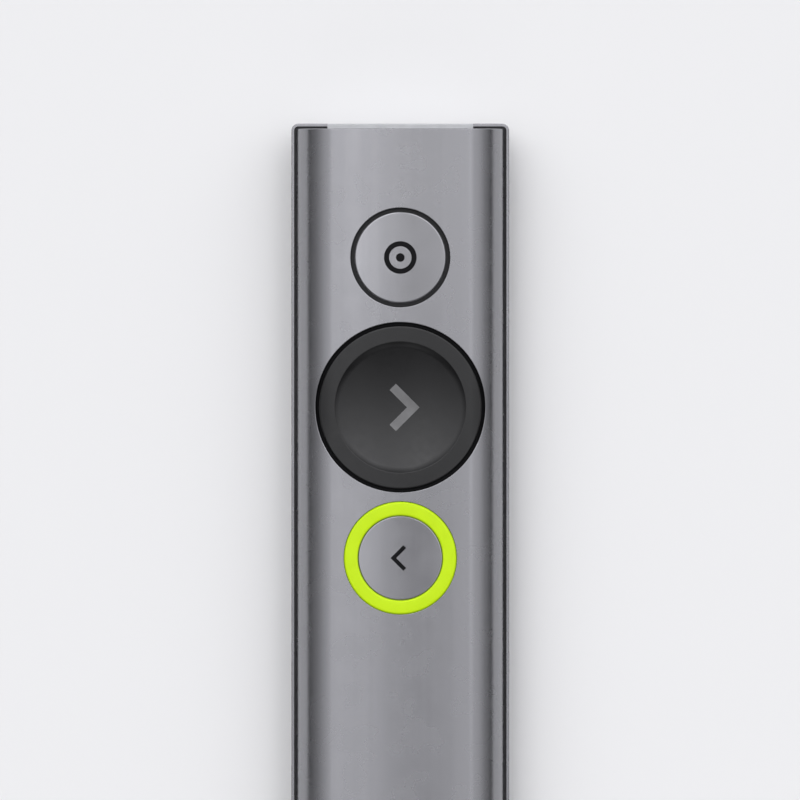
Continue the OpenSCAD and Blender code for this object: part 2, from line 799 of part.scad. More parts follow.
module main_board() color(board_green)
    difference() {
        block([-board_w / 2, board_tail_y, board_z], [board_w / 2, board_front_y, board_top_z]);
        block([-socket_w / 2 - loose, board_tail_y - past, 0],
              [socket_w / 2 + loose, socket_back_y + loose, body_h]);
        both_sides() for (y = board_screw_ys) translate([screw_x, y, 0]) post(screw_r + loose, 0, body_h);
    }

module board_screws() color(steel)
    both_sides() for (y = board_screw_ys) translate([screw_x, y, board_top_z]) mirror([0, 0, 1])
        machine_screw(board_t + screw_l);

// A piece on the board, by its centre and its size
module on_board(x, y, size) {
    translate([x - size[0] / 2, y - size[1] / 2, board_top_z]) cube(size);
}

module radio_shield() color(steel) on_board(0, shield_y, shield_size);
module controller_chip() color(black) on_board(0, controller_y, controller_size);
module chip_antenna() color([0.88, 0.88, 0.84])
    on_board(antenna_x, board_front_y - antenna_edge_gap - antenna_size[1] / 2, antenna_size);
module status_leds() color([0.95, 0.95, 0.85])
    for (x = status_led_xs) on_board(x, board_front_y - status_led_size[1] / 2, status_led_size);
module ring_leds() color([0.9, 0.95, 0.6])
    both_sides() on_board((ring_in_r + back_hole_r) / 2, back_y, ring_led_size);

// --- Charging socket ---

// A slot-shaped outline, centred on the bay
module socket_outline(width, height) {
    translate([0, bay_z]) {
        square([width - height, height], center = true);
        for (side = [-1, 1]) translate([side * (width - height) / 2, 0]) intersection() {
            circle(r = height / 2);
            translate([side > 0 ? 0 : -height, -height]) square([height, 2 * height]);
        }
    }
}

// The shell is closed behind, and two feet carry it on the board
module charge_socket_shell() color(steel) {
    foot_w = 1.2;
    foot_l = 1.5;
    foot_setback = 4;
    foot_y = socket_back_y - foot_setback;
    difference() {
        bar(socket_y, socket_back_y) socket_outline(socket_w, socket_h);
        bar(socket_y - past, socket_back_y - socket_back_t)
            socket_outline(socket_w - 2 * socket_t, socket_h - 2 * socket_t);
    }
    both_sides() block([socket_w / 2 - socket_t, foot_y, board_top_z],
                       [socket_w / 2 + foot_w, foot_y + foot_l, board_top_z + socket_t]);
}

module charge_socket_tongue() color(black) {
    tongue_half_w = 3.35;
    tongue_half_h = 0.35;
    mouth_gap = 0.9;
    block([-tongue_half_w, socket_y + mouth_gap, bay_z - tongue_half_h],
          [tongue_half_w, socket_back_y - socket_back_t, bay_z + tongue_half_h]);
}

// --- Battery and motor ---

module battery_cell() color([0.75, 0.76, 0.78])
    block([-battery_half_w, battery_tail_y, battery_z],
          [battery_half_w, battery_front_y, battery_z + battery_h]);

module battery_guard_board() color(board_green)
    block([guard_inset - battery_half_w, battery_tail_y - guard_l, guard_z],
          [battery_half_w - guard_inset, battery_tail_y, guard_z + guard_t]);

module battery_pad() color([0.2, 0.2, 0.2])
    block([loose - side_x, battery_tail_y + pad_end_gap, floor_t],
          [side_x - loose, battery_front_y - pad_end_gap, battery_z]);

// A wire that runs along -Y from the origin, turns up and ends after rise
module lead(r, run_l, bend_r, rise) {
    rotate([90, 0, 0]) post(r, 0, run_l);
    translate([0, -run_l, bend_r]) rotate([0, -90, 0]) rotate([0, 0, 180])
        rotate_extrude(angle = 90) translate([bend_r, 0]) circle(r = r);
    translate([0, -run_l - bend_r, 0]) post(r, bend_r, rise);
}

module battery_leads() {
    lead_r = 0.4;
    bend_r = 0.9;
    lead_x = 1.4;
    lead_end_gap = 0.5;
    lead_z = guard_z + guard_t + lead_r;
    run_l = battery_tail_gap - bend_r - lead_r - lead_end_gap;
    for (side = [-1, 1]) color(side > 0 ? [0.75, 0.06, 0.05] : black)
        translate([side * lead_x, battery_tail_y, lead_z]) lead(lead_r, run_l, bend_r, board_z - lead_z);
}

module motor_can() color(steel)
    translate([0, motor_y, motor_z]) rotate([-90, 0, 0]) difference() {
        post(motor_r, 0, motor_l);
        post(shaft_bore_r, motor_l - shaft_seat_l, motor_l + past);
    }

module motor_boot() color(black)
    translate([0, motor_y + boot_end, motor_z]) rotate([-90, 0, 0])
        tube(motor_r, motor_r + boot_t, 0, motor_l - 2 * boot_end);

module motor_shaft() color(steel)
    translate([0, motor_y, motor_z]) rotate([-90, 0, 0])
        post(shaft_r, motor_l - shaft_seat_l + loose, weight_y - motor_y + weight_l);

module motor_weight() color([0.45, 0.45, 0.47])
    translate([0, weight_y, motor_z]) rotate([-90, 0, 0]) difference() {
        post(weight_r, 0, weight_l);
        post(shaft_r, -past, weight_l + past);
        block([-far, -far, -past], [far, -weight_flat, weight_l + past]);
    }

module motor_leads() {
    lead_r = 0.3;
    lead_x = 0.9;
    lead_rise = 0.6;
    run_l = 1.2;
    bend_r = 0.7;
    lead_z = motor_z + lead_rise;
    for (side = [-1, 1]) color(side > 0 ? [0.75, 0.06, 0.05] : [0.1, 0.2, 0.6])
        translate([side * lead_x, motor_y, lead_z]) lead(lead_r, run_l, bend_r, board_z - lead_z);
}

// --- Receiver ---

// One half of the receiver's housing: side is 1 for the upper half and -1 for the lower
module receiver_half(side) {
    low_z = side > 0 ? bay_z : bay_z - receiver_h / 2;
    high_z = side > 0 ? bay_z + receiver_h / 2 : bay_z;
    difference() {
        block([-receiver_w / 2, tail_y, low_z], [receiver_w / 2, receiver_end_y, high_z]);
        block([-receiver_room_half_w, tail_y + receiver_end_t, bay_z - receiver_room_half_h],
              [receiver_room_half_w, receiver_end_y - receiver_end_t, bay_z + receiver_room_half_h]);
        block([-plug_w / 2, receiver_end_y - plug_root_l, bay_z - plug_h / 2],
              [plug_w / 2, receiver_end_y + past, bay_z + plug_h / 2]);
        block([-tab_w / 2, tail_y - past, bay_z - tab_t / 2],
              [tab_w / 2, tail_y + receiver_end_t + past, bay_z + tab_t / 2]);
    }
}

module receiver_top() color(black) receiver_half(1);
module receiver_bottom() color(black) receiver_half(-1);

module receiver_plug_shell() color(steel) {
    latch_x = 1.6;
    latch_w = 2;
    latch_from_tip = 5.2;
    difference() {
        block([-plug_w / 2, receiver_end_y - plug_root_l, bay_z - plug_h / 2],
              [plug_w / 2, plug_tip_y, bay_z + plug_h / 2]);
        block([plug_t - plug_w / 2, receiver_end_y - plug_root_l - past, bay_z - plug_h / 2 + plug_t],
              [plug_w / 2 - plug_t, plug_tip_y + past, bay_z + plug_h / 2 - plug_t]);
        both_sides() block([latch_x, plug_tip_y - latch_from_tip - latch_w, 0],
                           [latch_x + latch_w, plug_tip_y - latch_from_tip, body_h]);
    }
}

module receiver_plug_tongue() color([0.9, 0.9, 0.9])
    block([plug_t - plug_w / 2, receiver_end_y - plug_root_l, plug_floor_z],
          [plug_w / 2 - plug_t, plug_tip_y - tongue_setback, plug_floor_z + tongue_h]);

module receiver_plug_contacts() color(gold) {
    contact_w = 1;
    contact_t = 0.12;
    contact_setback = 1;
    inner_contact_x = 1;
    outer_contact_x = 3.5;
    both_sides() for (x = [inner_contact_x, outer_contact_x])
        block([x - contact_w / 2, receiver_end_y - plug_root_l + loose, plug_floor_z + tongue_h],
              [x + contact_w / 2, plug_tip_y - tongue_setback - contact_setback,
               plug_floor_z + tongue_h + contact_t]);
}

// The receiver's board lies between its root in the plug and the tab's hook
receiver_board_rise = 0.2;
receiver_board_t = 0.8;
receiver_board_inset = 0.2;
receiver_board_half_w = plug_w / 2 - receiver_board_inset;
receiver_board_tail_gap = 2.2;
receiver_board_z = plug_floor_z + receiver_board_rise;
receiver_board_tail_y = tail_y + receiver_end_t + tab_hook_l + receiver_board_tail_gap;
receiver_chip_size = [4, 4, 0.8];
receiver_chip_gap = 2.4;

module receiver_board() color(board_green)
    block([-receiver_board_half_w, receiver_board_tail_y, receiver_board_z],
          [receiver_board_half_w, receiver_end_y - plug_root_l, receiver_board_z + receiver_board_t]);

module receiver_chip() color(black)
    translate([-receiver_chip_size[0] / 2, receiver_board_tail_y + receiver_chip_gap,
               receiver_board_z + receiver_board_t])
        cube(receiver_chip_size);

// A bar with round ends, along X and centred
module round_bar(length, width) {
    square([length - width, width], center = true);
    for (side = [-1, 1]) translate([side * (length - width) / 2, 0]) circle(r = width / 2);
}

// The tab passes through the housing's end wall and is hooked behind it
module receiver_pull_tab() color(black) {
    hook_half_w = receiver_room_half_w - loose;
    hook_rise = 0.5;
    corner_r = 2;
    slot_margin = 1.3;
    outer_y = tail_y - tab_out;
    root_y = tail_y + receiver_end_t;
    translate([0, 0, bay_z - tab_t / 2]) linear_extrude(tab_t) difference() {
        union() {
            translate([-tab_w / 2, outer_y + corner_r])
                square([tab_w, root_y + tab_hook_l - outer_y - corner_r]);
            translate([0, outer_y + corner_r]) round_bar(tab_w, 2 * corner_r);
        }
        translate([0, outer_y + slot_margin + tab_slot_w / 2]) round_bar(tab_slot_l, tab_slot_w);
    }
    block([-hook_half_w, root_y, bay_z - tab_t / 2 - hook_rise],
          [hook_half_w, root_y + tab_hook_l, bay_z + tab_t / 2 + hook_rise]);
}

// --- Nodes ---

bottom_shell();
top_shell();
seam_gasket();
status_window();
tail_frame();
tail_screws();
pointer_button();
pointer_icon_ring();
pointer_icon_dot();
pointer_bezel();
next_button();
next_chevron();
next_bezel();
back_button();
back_chevron();
back_light_ring();
switch_base(pointer_y);  // pointer_switch_base
switch_cover(pointer_y);  // pointer_switch_cover
switch_dome(pointer_y);  // pointer_switch_dome
switch_plunger(pointer_y);  // pointer_switch_plunger
switch_base(next_y);  // next_switch_base
switch_cover(next_y);  // next_switch_cover
switch_dome(next_y);  // next_switch_dome
switch_plunger(next_y);  // next_switch_plunger
switch_base(back_y);  // back_switch_base
switch_cover(back_y);  // back_switch_cover
switch_dome(back_y);  // back_switch_dome
switch_plunger(back_y);  // back_switch_plunger
chassis();
chassis_screws();
main_board();
board_screws();
radio_shield();
controller_chip();
chip_antenna();
status_leds();
ring_leds();
charge_socket_shell();
charge_socket_tongue();
battery_cell();
battery_guard_board();
battery_pad();
battery_leads();
motor_can();
motor_boot();
motor_shaft();
motor_weight();
motor_leads();
receiver_top();
receiver_bottom();
receiver_board();
receiver_chip();
receiver_plug_shell();
receiver_plug_tongue();
receiver_plug_contacts();
receiver_pull_tab();
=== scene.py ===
"""Looks of the wireless presentation clicker: its casing, buttons, receiver and inner parts."""
import math

import bmesh
import bpy
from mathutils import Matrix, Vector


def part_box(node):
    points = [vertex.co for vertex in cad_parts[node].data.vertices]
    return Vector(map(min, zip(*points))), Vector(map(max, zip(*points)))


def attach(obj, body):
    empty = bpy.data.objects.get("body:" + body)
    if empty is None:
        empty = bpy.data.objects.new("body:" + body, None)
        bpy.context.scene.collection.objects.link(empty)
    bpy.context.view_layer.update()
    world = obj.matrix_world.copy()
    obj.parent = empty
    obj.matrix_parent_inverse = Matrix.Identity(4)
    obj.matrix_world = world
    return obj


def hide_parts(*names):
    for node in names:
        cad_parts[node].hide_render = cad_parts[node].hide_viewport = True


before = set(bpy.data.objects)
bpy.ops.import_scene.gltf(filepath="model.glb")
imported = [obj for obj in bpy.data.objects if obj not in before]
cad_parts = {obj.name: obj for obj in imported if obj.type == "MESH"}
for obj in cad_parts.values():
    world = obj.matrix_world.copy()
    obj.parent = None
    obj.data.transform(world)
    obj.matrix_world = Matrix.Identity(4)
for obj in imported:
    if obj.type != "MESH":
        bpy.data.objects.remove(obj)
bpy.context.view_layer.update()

MM = 0.001
ROUND_STEPS = 180          # faces round a hole or a button
EPS = 0.00002              # how near a corner is to the line that it is picked by
MERGE_GAP = 0.000001       # corners closer than this are one corner
SOFTEN_GAP = 0.000004      # the same, before edges are rounded
SMOOTH_UNDER = 32          # edges flatter than this, in degrees, are shaded smooth
WIDE, LONG, HIGH = 0.02, 0.1, 0.02     # how far a cut runs past the whole clicker, along X, Y and Z


# ---------------------------------------------------------------- the bench: picking and cutting

def put_down():
    """Leaves edit mode with nothing selected."""
    if bpy.context.mode != "OBJECT":
        bpy.ops.object.mode_set(mode="OBJECT")
    bpy.ops.object.select_all(action="DESELECT")


def take_up(piece):
    """Selects one piece alone."""
    put_down()
    piece.select_set(True)
    bpy.context.view_layer.objects.active = piece


def open_up(piece):
    """Takes a piece into edit mode."""
    take_up(piece)
    bpy.ops.object.mode_set(mode="EDIT")


def pick(piece, kind, test):
    """Selects the faces, edges or corners that pass a test, in edit mode."""
    bpy.ops.mesh.select_mode(type={"verts": "VERT", "edges": "EDGE", "faces": "FACE"}[kind])
    bpy.ops.mesh.select_all(action="DESELECT")
    shape = bmesh.from_edit_mesh(piece.data)
    shape.normal_update()
    found = [part for part in getattr(shape, kind) if test(part)]
    for part in found:
        part.select_set(True)
    bmesh.update_edit_mesh(piece.data)
    return len(found)


def tidy_skin(piece):
    """Merges doubled corners and turns every face outwards."""
    open_up(piece)
    bpy.ops.mesh.select_all(action="SELECT")
    bpy.ops.mesh.remove_doubles(threshold=MERGE_GAP)
    bpy.ops.mesh.normals_make_consistent(inside=False)
    put_down()


def soften(piece, width, test, segments=3):
    """Rounds the edges that pass a test."""
    open_up(piece)
    bpy.ops.mesh.select_all(action="SELECT")
    bpy.ops.mesh.remove_doubles(threshold=SOFTEN_GAP)
    if pick(piece, "edges", test):
        bpy.ops.mesh.bevel(offset=width, segments=segments, profile=0.5, affect="EDGES", clamp_overlap=False)
    put_down()


def cut(piece, *tools, how="DIFFERENCE"):
    """Cuts tools out of a piece, joins them to it, or keeps what they share."""
    for tool in tools:
        joint = piece.modifiers.new("Cut", "BOOLEAN")
        joint.operation = how
        joint.solver = "EXACT"
        joint.object = tool
        take_up(piece)
        bpy.ops.object.modifier_apply(modifier=joint.name)
        bpy.data.objects.remove(tool)
    return piece


def apply_place():
    """Moves the active piece's place, turn and scale into its mesh."""
    bpy.ops.object.transform_apply(location=True, rotation=True, scale=True)


def settle(piece):
    """Puts a finished piece at the origin with its place in its mesh, and smooths its shading."""
    take_up(piece)
    apply_place()
    bpy.ops.object.shade_smooth_by_angle(angle=math.radians(SMOOTH_UNDER))
    even = piece.modifiers.new("Even", "WEIGHTED_NORMAL")
    even.keep_sharp = True
    even.weight = 60
    bpy.ops.object.modifier_apply(modifier=even.name)
    put_down()
    return piece


def name_it(name):
    """Names the shape just made."""
    piece = bpy.context.object
    piece.name = name
    piece.data.name = name
    return piece


def block(low, high, name="block"):
    """A box between two corners."""
    put_down()
    middle = [(a + b) / 2 for a, b in zip(low, high)]
    bpy.ops.mesh.primitive_cube_add(size=1, location=middle, scale=[b - a for a, b in zip(low, high)])
    piece = name_it(name)
    apply_place()
    return piece


def post(x, y, radius, low, high, steps):
    """An upright round bar."""
    put_down()
    bpy.ops.mesh.primitive_cylinder_add(vertices=steps, radius=radius, depth=high - low,
                                        location=(x, y, (low + high) / 2))
    piece = name_it("post")
    apply_place()
    return piece


def cross_post(x, z, radius, low_y, high_y, steps):
    """A round bar along Y."""
    put_down()
    bpy.ops.mesh.primitive_cylinder_add(vertices=steps, radius=radius, depth=high_y - low_y,
                                        location=(x, (low_y + high_y) / 2, z),
                                        rotation=(math.radians(90), 0, 0))
    piece = name_it("cross_post")
    apply_place()
    return piece


def start_drawing(x, y, z):
    """Starts a drawing with one corner, in edit mode."""
    put_down()
    bpy.ops.mesh.primitive_plane_add(size=MM, location=(x, y, z))
    bpy.ops.object.mode_set(mode="EDIT")
    bpy.ops.mesh.select_mode(type="VERT")
    bpy.ops.mesh.select_all(action="SELECT")
    bpy.ops.mesh.merge(type="CENTER")


def end_drawing(name):
    """Ends a drawing: names the shape, moves its place into its mesh and tidies its skin."""
    piece = name_it(name)
    take_up(piece)
    apply_place()
    tidy_skin(piece)
    return piece


def trace(start, runs, y):
    """Draws a line in X and Z, in edit mode: straight runs by extruding, arcs by spinning about Y."""
    start_drawing(start[0], y, start[1])
    at_x, at_z = start
    for run in runs:
        if len(run) == 2:
            bpy.ops.mesh.extrude_region_move(
                TRANSFORM_OT_translate={"value": (run[0] - at_x, 0, run[1] - at_z)})
            at_x, at_z = run
        else:
            mid_x, mid_z, degrees, steps = run
            turn = math.radians(degrees)
            bpy.ops.mesh.spin(steps=steps, angle=turn, center=(mid_x, y, mid_z), axis=(0, 1, 0))
            off_x, off_z = at_x - mid_x, at_z - mid_z
            at_x = mid_x + off_x * math.cos(turn) - off_z * math.sin(turn)
            at_z = mid_z + off_x * math.sin(turn) + off_z * math.cos(turn)


def drawn_bar(name, from_y, to_y, start, runs, nose=0.0, steps=6):
    """A bar along Y with a traced section. A nose rounds the edge of its far end."""
    trace(start, runs, from_y)
    away = 1 if to_y > from_y else -1
    bpy.ops.mesh.select_all(action="SELECT")
    bpy.ops.mesh.remove_doubles(threshold=MERGE_GAP)
    bpy.ops.mesh.edge_face_add()
    bpy.ops.mesh.extrude_region_move(TRANSFORM_OT_translate={"value": (0, to_y - from_y - away * nose, 0)})
    if nose:
        bpy.ops.mesh.select_mode(type="FACE")
        turns = [math.radians(90 * step / steps) for step in range(steps + 1)]
        for before, after in zip(turns, turns[1:]):
            bpy.ops.mesh.inset(thickness=nose * (math.cos(before) - math.cos(after)), depth=0)
            rise = nose * (math.sin(after) - math.sin(before))
            bpy.ops.transform.translate(value=(0, away * rise, 0))
    return end_drawing(name)


def turned(name, y, start, runs, steps=ROUND_STEPS):
    """A turned piece about the upright line at y, from its section to the right of that line."""
    trace(start, runs, y)
    bpy.ops.mesh.select_all(action="SELECT")
    bpy.ops.mesh.spin(steps=steps, angle=math.radians(360), center=(0, y, 0), axis=(0, 0, 1))
    return end_drawing(name)


def plate_from(name, points, low, high):
    """A flat plate with an outline in X and Y, drawn corner by corner."""
    start_drawing(*points[0], low)
    for before, after in zip(points, points[1:]):
        bpy.ops.mesh.extrude_region_move(
            TRANSFORM_OT_translate={"value": (after[0] - before[0], after[1] - before[1], 0)})
    bpy.ops.mesh.select_all(action="SELECT")
    bpy.ops.mesh.edge_face_add()
    bpy.ops.mesh.extrude_region_move(TRANSFORM_OT_translate={"value": (0, 0, high - low)})
    return end_drawing(name)


def upright(edge):
    """True for an edge that runs along Z."""
    a, b = (v.co for v in edge.verts)
    return abs(a.x - b.x) < EPS and abs(a.y - b.y) < EPS


def along_y(edge):
    """True for an edge that runs along Y."""
    a, b = (v.co for v in edge.verts)
    return abs(a.x - b.x) < EPS and abs(a.z - b.z) < EPS


def sharp_at(edge, turn):
    """True for an edge whose two faces meet at more than an angle."""
    return len(edge.link_faces) == 2 and edge.calc_face_angle(0) > math.radians(turn)


# ---------------------------------------------------------------- sizes of the casing

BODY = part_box("bottom_shell")
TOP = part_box("top_shell")
FRONT_Y = BODY[1].y
TAIL_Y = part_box("tail_frame")[0].y
SHELL_TAIL_Y = BODY[0].y
HALF_W = BODY[1].x
LIP_Z = BODY[1].z
CROWN_Z = TOP[1].z
GASKET_TOP_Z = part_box("seam_gasket")[1].z
SEAM_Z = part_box("seam_gasket")[0].z
TOP_HALF_W = TOP[1].x
TOP_FRONT_Y = TOP[1].y
LIP_W = 0.35 * MM
WALL = 1.1 * MM
CROWN_R = 100 * MM
EDGE_R = 5 * MM
EDGE_X = TOP_HALF_W - EDGE_R
CROWN_TURN = math.asin(EDGE_X / (CROWN_R - EDGE_R))
EDGE_Z = CROWN_Z - CROWN_R + (CROWN_R - EDGE_R) * math.cos(CROWN_TURN)
SIDE_R = LIP_Z
SIDE_X = HALF_W - SIDE_R
CAVITY_HALF_W = TOP_HALF_W - WALL
CAVITY_FRONT_Y = TOP_FRONT_Y - WALL
CORNER_R = 0.9 * MM
SHELL_NOSE, TAIL_NOSE = 0.14 * MM, 0.34 * MM     # rounding of the top's front edge and the tail's rim
SCREW_STEPS = 64           # faces round a screw's hole or boss
SCREW_HEAD_R, BOSS_R, BOSS_HOLE_R = 1.3 * MM, 1.8 * MM, 0.73 * MM
HOOK_HALF_L, HOOK_LOW_Z = 2 * MM, 5.55 * MM
HOOK_SLOT_HALF_L, HOOK_SLOT_LOW_Z, HOOK_SLOT_TOP_Z = 2.1 * MM, 5.45 * MM, 6.1 * MM
BAY_Z = (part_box("receiver_top")[1].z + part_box("receiver_bottom")[0].z) / 2
BAY_HALF_W, BAY_HALF_H, BAY_END_Y = 7.9 * MM, 3.2 * MM, -29.65 * MM
SLEEVE_HALF_W, SLEEVE_HALF_H = (7.8 + 0.1 + 0.8) * MM, 4.0 * MM
TAIL_SCREW_X = 10.485 * MM
PLUG_HALF_W, PLUG_HALF_H = 6 * MM, 2.25 * MM
TAB_HALF_W, TAB_HALF_T = 5.5 * MM, 0.9 * MM


def crown_height(x, inset=0.0):
    """Height of the crowned face at a distance from the middle."""
    across = abs(x)
    if across < EDGE_X + EDGE_R * math.sin(CROWN_TURN):
        return CROWN_Z - CROWN_R + math.sqrt((CROWN_R - inset) ** 2 - across ** 2)
    return EDGE_Z + math.sqrt(max((EDGE_R - inset) ** 2 - (across - EDGE_X) ** 2, 0))


def lay_on_crown(piece, low_z, inset=0.0, least_r=0.0, y=0.0):
    """Lowers what stands above a height and outside a radius, so that it follows the crowned face."""
    for corner in piece.data.vertices:
        if corner.co.z > low_z and math.hypot(corner.co.x, corner.co.y - y) > least_r - EPS:
            corner.co.z += crown_height(corner.co.x, inset) - CROWN_Z
    return piece


def crown_runs(inset, low_z, finer=1):
    """The top's section, from the left wall's foot over the crown to the right wall's foot."""
    half = TOP_HALF_W - inset
    turn = 90 - math.degrees(CROWN_TURN)
    return (-half, low_z), [
        (-half, EDGE_Z),
        (-EDGE_X, EDGE_Z, -turn, 20 * finer),
        (0, CROWN_Z - CROWN_R, -2 * math.degrees(CROWN_TURN), 28 * finer),
        (EDGE_X, EDGE_Z, -turn, 20 * finer),
        (half, low_z),
    ]


def crown_bar(name, low_y, high_y, inset, low_z):
    """A bar with the top's section."""
    start, runs = crown_runs(inset, low_z)
    return drawn_bar(name, low_y, high_y, start, runs)


def ring_the_length(piece, cuts):
    """Divides a long bar across its length, so that each cut in it stays local."""
    open_up(piece)
    pick(piece, "edges", lambda e: along_y(e) and e.calc_length() > 20 * MM)
    bpy.ops.mesh.subdivide(number_cuts=cuts)
    put_down()


def even_crown(piece):
    """Gives what lies on the crowned face the even shading of an uncut crown."""
    start, runs = crown_runs(0, GASKET_TOP_Z - MM, finer=4)
    guide = drawn_bar("guide", SHELL_TAIL_Y - 5 * MM, FRONT_Y + 5 * MM, start, runs)
    take_up(guide)
    bpy.ops.object.shade_smooth_by_angle(angle=math.radians(40))
    crown = piece.vertex_groups.new(name="crown")
    crown.add([corner.index for corner in piece.data.vertices
               if corner.co.z > EDGE_Z - EPS and corner.co.y > SHELL_TAIL_Y + EPS
               and abs(corner.co.z - crown_height(corner.co.x)) < EPS / 2], 1.0, "REPLACE")
    shade = piece.modifiers.new("Shade", "DATA_TRANSFER")
    shade.object = guide
    shade.use_loop_data = True
    shade.data_types_loops = {"CUSTOM_NORMAL"}
    shade.loop_mapping = "POLYINTERP_NEAREST"
    shade.vertex_group = crown.name
    take_up(piece)
    bpy.ops.object.modifier_apply(modifier=shade.name)
    piece.vertex_groups.clear()
    bpy.data.objects.remove(guide)
    put_down()
    return piece


def plan_block(name, inset, low_y, low_z, high_z):
    """A block with the casing's plan and its two rounded front corners."""
    half, front = HALF_W - inset, FRONT_Y - inset
    piece = block((-half, low_y, low_z), (half, front, high_z), name)
    soften(piece, max(CORNER_R - inset, 0.3 * MM),
           lambda e: upright(e) and e.verts[0].co.y > front - EPS, segments=8)
    return piece


# ---------------------------------------------------------------- casing

BUTTON_YS = {}
for key in ("pointer", "next", "back"):
    low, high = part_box(key + "_button")
    BUTTON_YS[key] = (low.y + high.y) / 2
HOLE_R = {"pointer": 6.38 * MM, "next": 10.94 * MM, "back": 7.24 * MM}
CAP_R = {"pointer": 5.86 * MM, "next": 10.48 * MM, "back": 5.42 * MM}
HOLE_RIM_R = 0.13 * MM
RIM_TURNS = (0, 28, 56, 78)            # degrees round a hole's rim, from its wall to the face
CAP_RIM_R = {"pointer": 0.13 * MM, "next": 0.14 * MM, "back": 0.11 * MM}
HOOK_YS = (BUTTON_YS["pointer"], BUTTON_YS["back"], -18.0 * MM, -45.65 * MM)


def hole_tool(y, radius, round_r):
    """The tool that cuts a button's hole in the crowned face and rounds its rim."""
    top = CROWN_Z
    rim = [(radius + round_r * (1 - math.cos(t)), top - round_r * (1 - math.sin(t)))
           for t in (math.radians(turn) for turn in RIM_TURNS)]
    reach, slope, foot_z = 0.12 * MM, math.tan(math.radians(22)), 5 * MM
    rim.append((rim[-1][0] + reach, rim[-1][1] + reach * slope))
    tool = turned("hole", y, (0, foot_z), [(radius, foot_z), *rim, (rim[-1][0], top + MM), (0, top + MM)])
    return lay_on_crown(tool, top - 0.6 * MM)


def make_top_shell():
    """The crowned upper shell, with three softened holes and its snap hooks."""
    start, runs = crown_runs(0, 3 * MM)
    shell = drawn_bar("top_shell_skin", SHELL_TAIL_Y, TOP_FRONT_Y, start, runs, nose=SHELL_NOSE)
    ring_the_length(shell, 90)
    cut(shell, block((-WIDE, -LONG, -MM), (WIDE, LONG, GASKET_TOP_Z)))
    cut(shell, crown_bar("room", SHELL_TAIL_Y - MM, CAVITY_FRONT_Y, WALL, 0))
    for key, y in BUTTON_YS.items():
        cut(shell, hole_tool(y, HOLE_R[key], HOLE_RIM_R))
    for y in HOOK_YS:
        for side in (-1, 1):
            cut(shell, hook_piece(side, y), how="UNION")
    tidy_skin(shell)
    return even_crown(settle(shell))


def hook_piece(side, y):
    """One snap hook: a tongue with a sloped barb, rooted in the shell's wall."""
    out, inner = CAVITY_HALF_W - 0.1 * MM, CAVITY_HALF_W - 0.9 * MM
    barb, low = CAVITY_HALF_W + 0.2 * MM, HOOK_LOW_Z
    root, root_top = GASKET_TOP_Z + 0.5 * MM, GASKET_TOP_Z + 2 * MM
    section = [(inner, low), (barb - 0.25 * MM, low), (barb, low + 0.2 * MM), (barb, low + 0.5 * MM),
               (out, low + 0.5 * MM), (out, root), (CAVITY_HALF_W + WALL / 2, root),
               (CAVITY_HALF_W + WALL / 2, root_top), (inner, root_top)]
    section = [(side * x, z) for x, z in section]
    return drawn_bar("hook", y - HOOK_HALF_L, y + HOOK_HALF_L, section[0], section[1:])


def bottom_runs(inset, wall_top=LIP_Z):
    """The bottom's section, from the left wall under the floor to the right wall."""
    half = HALF_W - inset
    return (-half, wall_top), [
        (-half, SIDE_R),
        (-SIDE_X, SIDE_R, 90, 24),
        (SIDE_X, inset),
        (SIDE_X, SIDE_R, 90, 24),
        (half, wall_top),
    ]


def make_bottom_shell():
    """The lower shell: rounded sides, the lip round the seam, the window's notch and the screw bosses."""
    start, runs = bottom_runs(0, LIP_Z + 2 * MM)
    shell = drawn_bar("bottom_shell_skin", SHELL_TAIL_Y, FRONT_Y, start, runs, nose=CORNER_R, steps=8)
    ring_the_length(shell, 60)
    cut(shell, block((-WIDE, -LONG, LIP_Z), (WIDE, LONG, HIGH)))
    soften(shell, 0.12 * MM, lambda e: sharp_at(e, 60) and all(v.co.z > LIP_Z - EPS for v in e.verts)
           and max(v.co.y for v in e.verts) > SHELL_TAIL_Y + EPS)
    start, runs = bottom_runs(WALL, 9 * MM)
    room = drawn_bar("room", SHELL_TAIL_Y - MM, CAVITY_FRONT_Y, start, runs)
    cut(room, block((-CAVITY_HALF_W, -LONG, -LONG), (CAVITY_HALF_W, LONG, LONG)), how="INTERSECT")
    cut(shell, room)
    cut(shell, plan_block("seam", LIP_W, SHELL_TAIL_Y - MM, SEAM_Z, HIGH))
    window_low, window_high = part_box("status_window")
    cut(shell, block((window_low.x, CAVITY_FRONT_Y - MM, window_low.z), (window_high.x, FRONT_Y + MM, HIGH)))
    for y in (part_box("chassis_screws")[0].y + SCREW_HEAD_R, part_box("chassis_screws")[1].y - SCREW_HEAD_R):
        boss = post(0, y, BOSS_R, WALL - 0.2 * MM, WALL + 1.2 * MM, SCREW_STEPS)
        cut(shell, boss, how="UNION")
        cut(shell, post(0, y, BOSS_HOLE_R, WALL / 2, 3 * MM, steps=48))
    for y in HOOK_YS:
        for side in (-1, 1):
            low_x, high_x = sorted((side * (CAVITY_HALF_W - MM), side * (CAVITY_HALF_W + 0.3 * MM)))
            cut(shell, block((low_x, y - HOOK_SLOT_HALF_L, HOOK_SLOT_LOW_Z),
                             (high_x, y + HOOK_SLOT_HALF_L, HOOK_SLOT_TOP_Z)))
    tidy_skin(shell)
    return settle(shell)


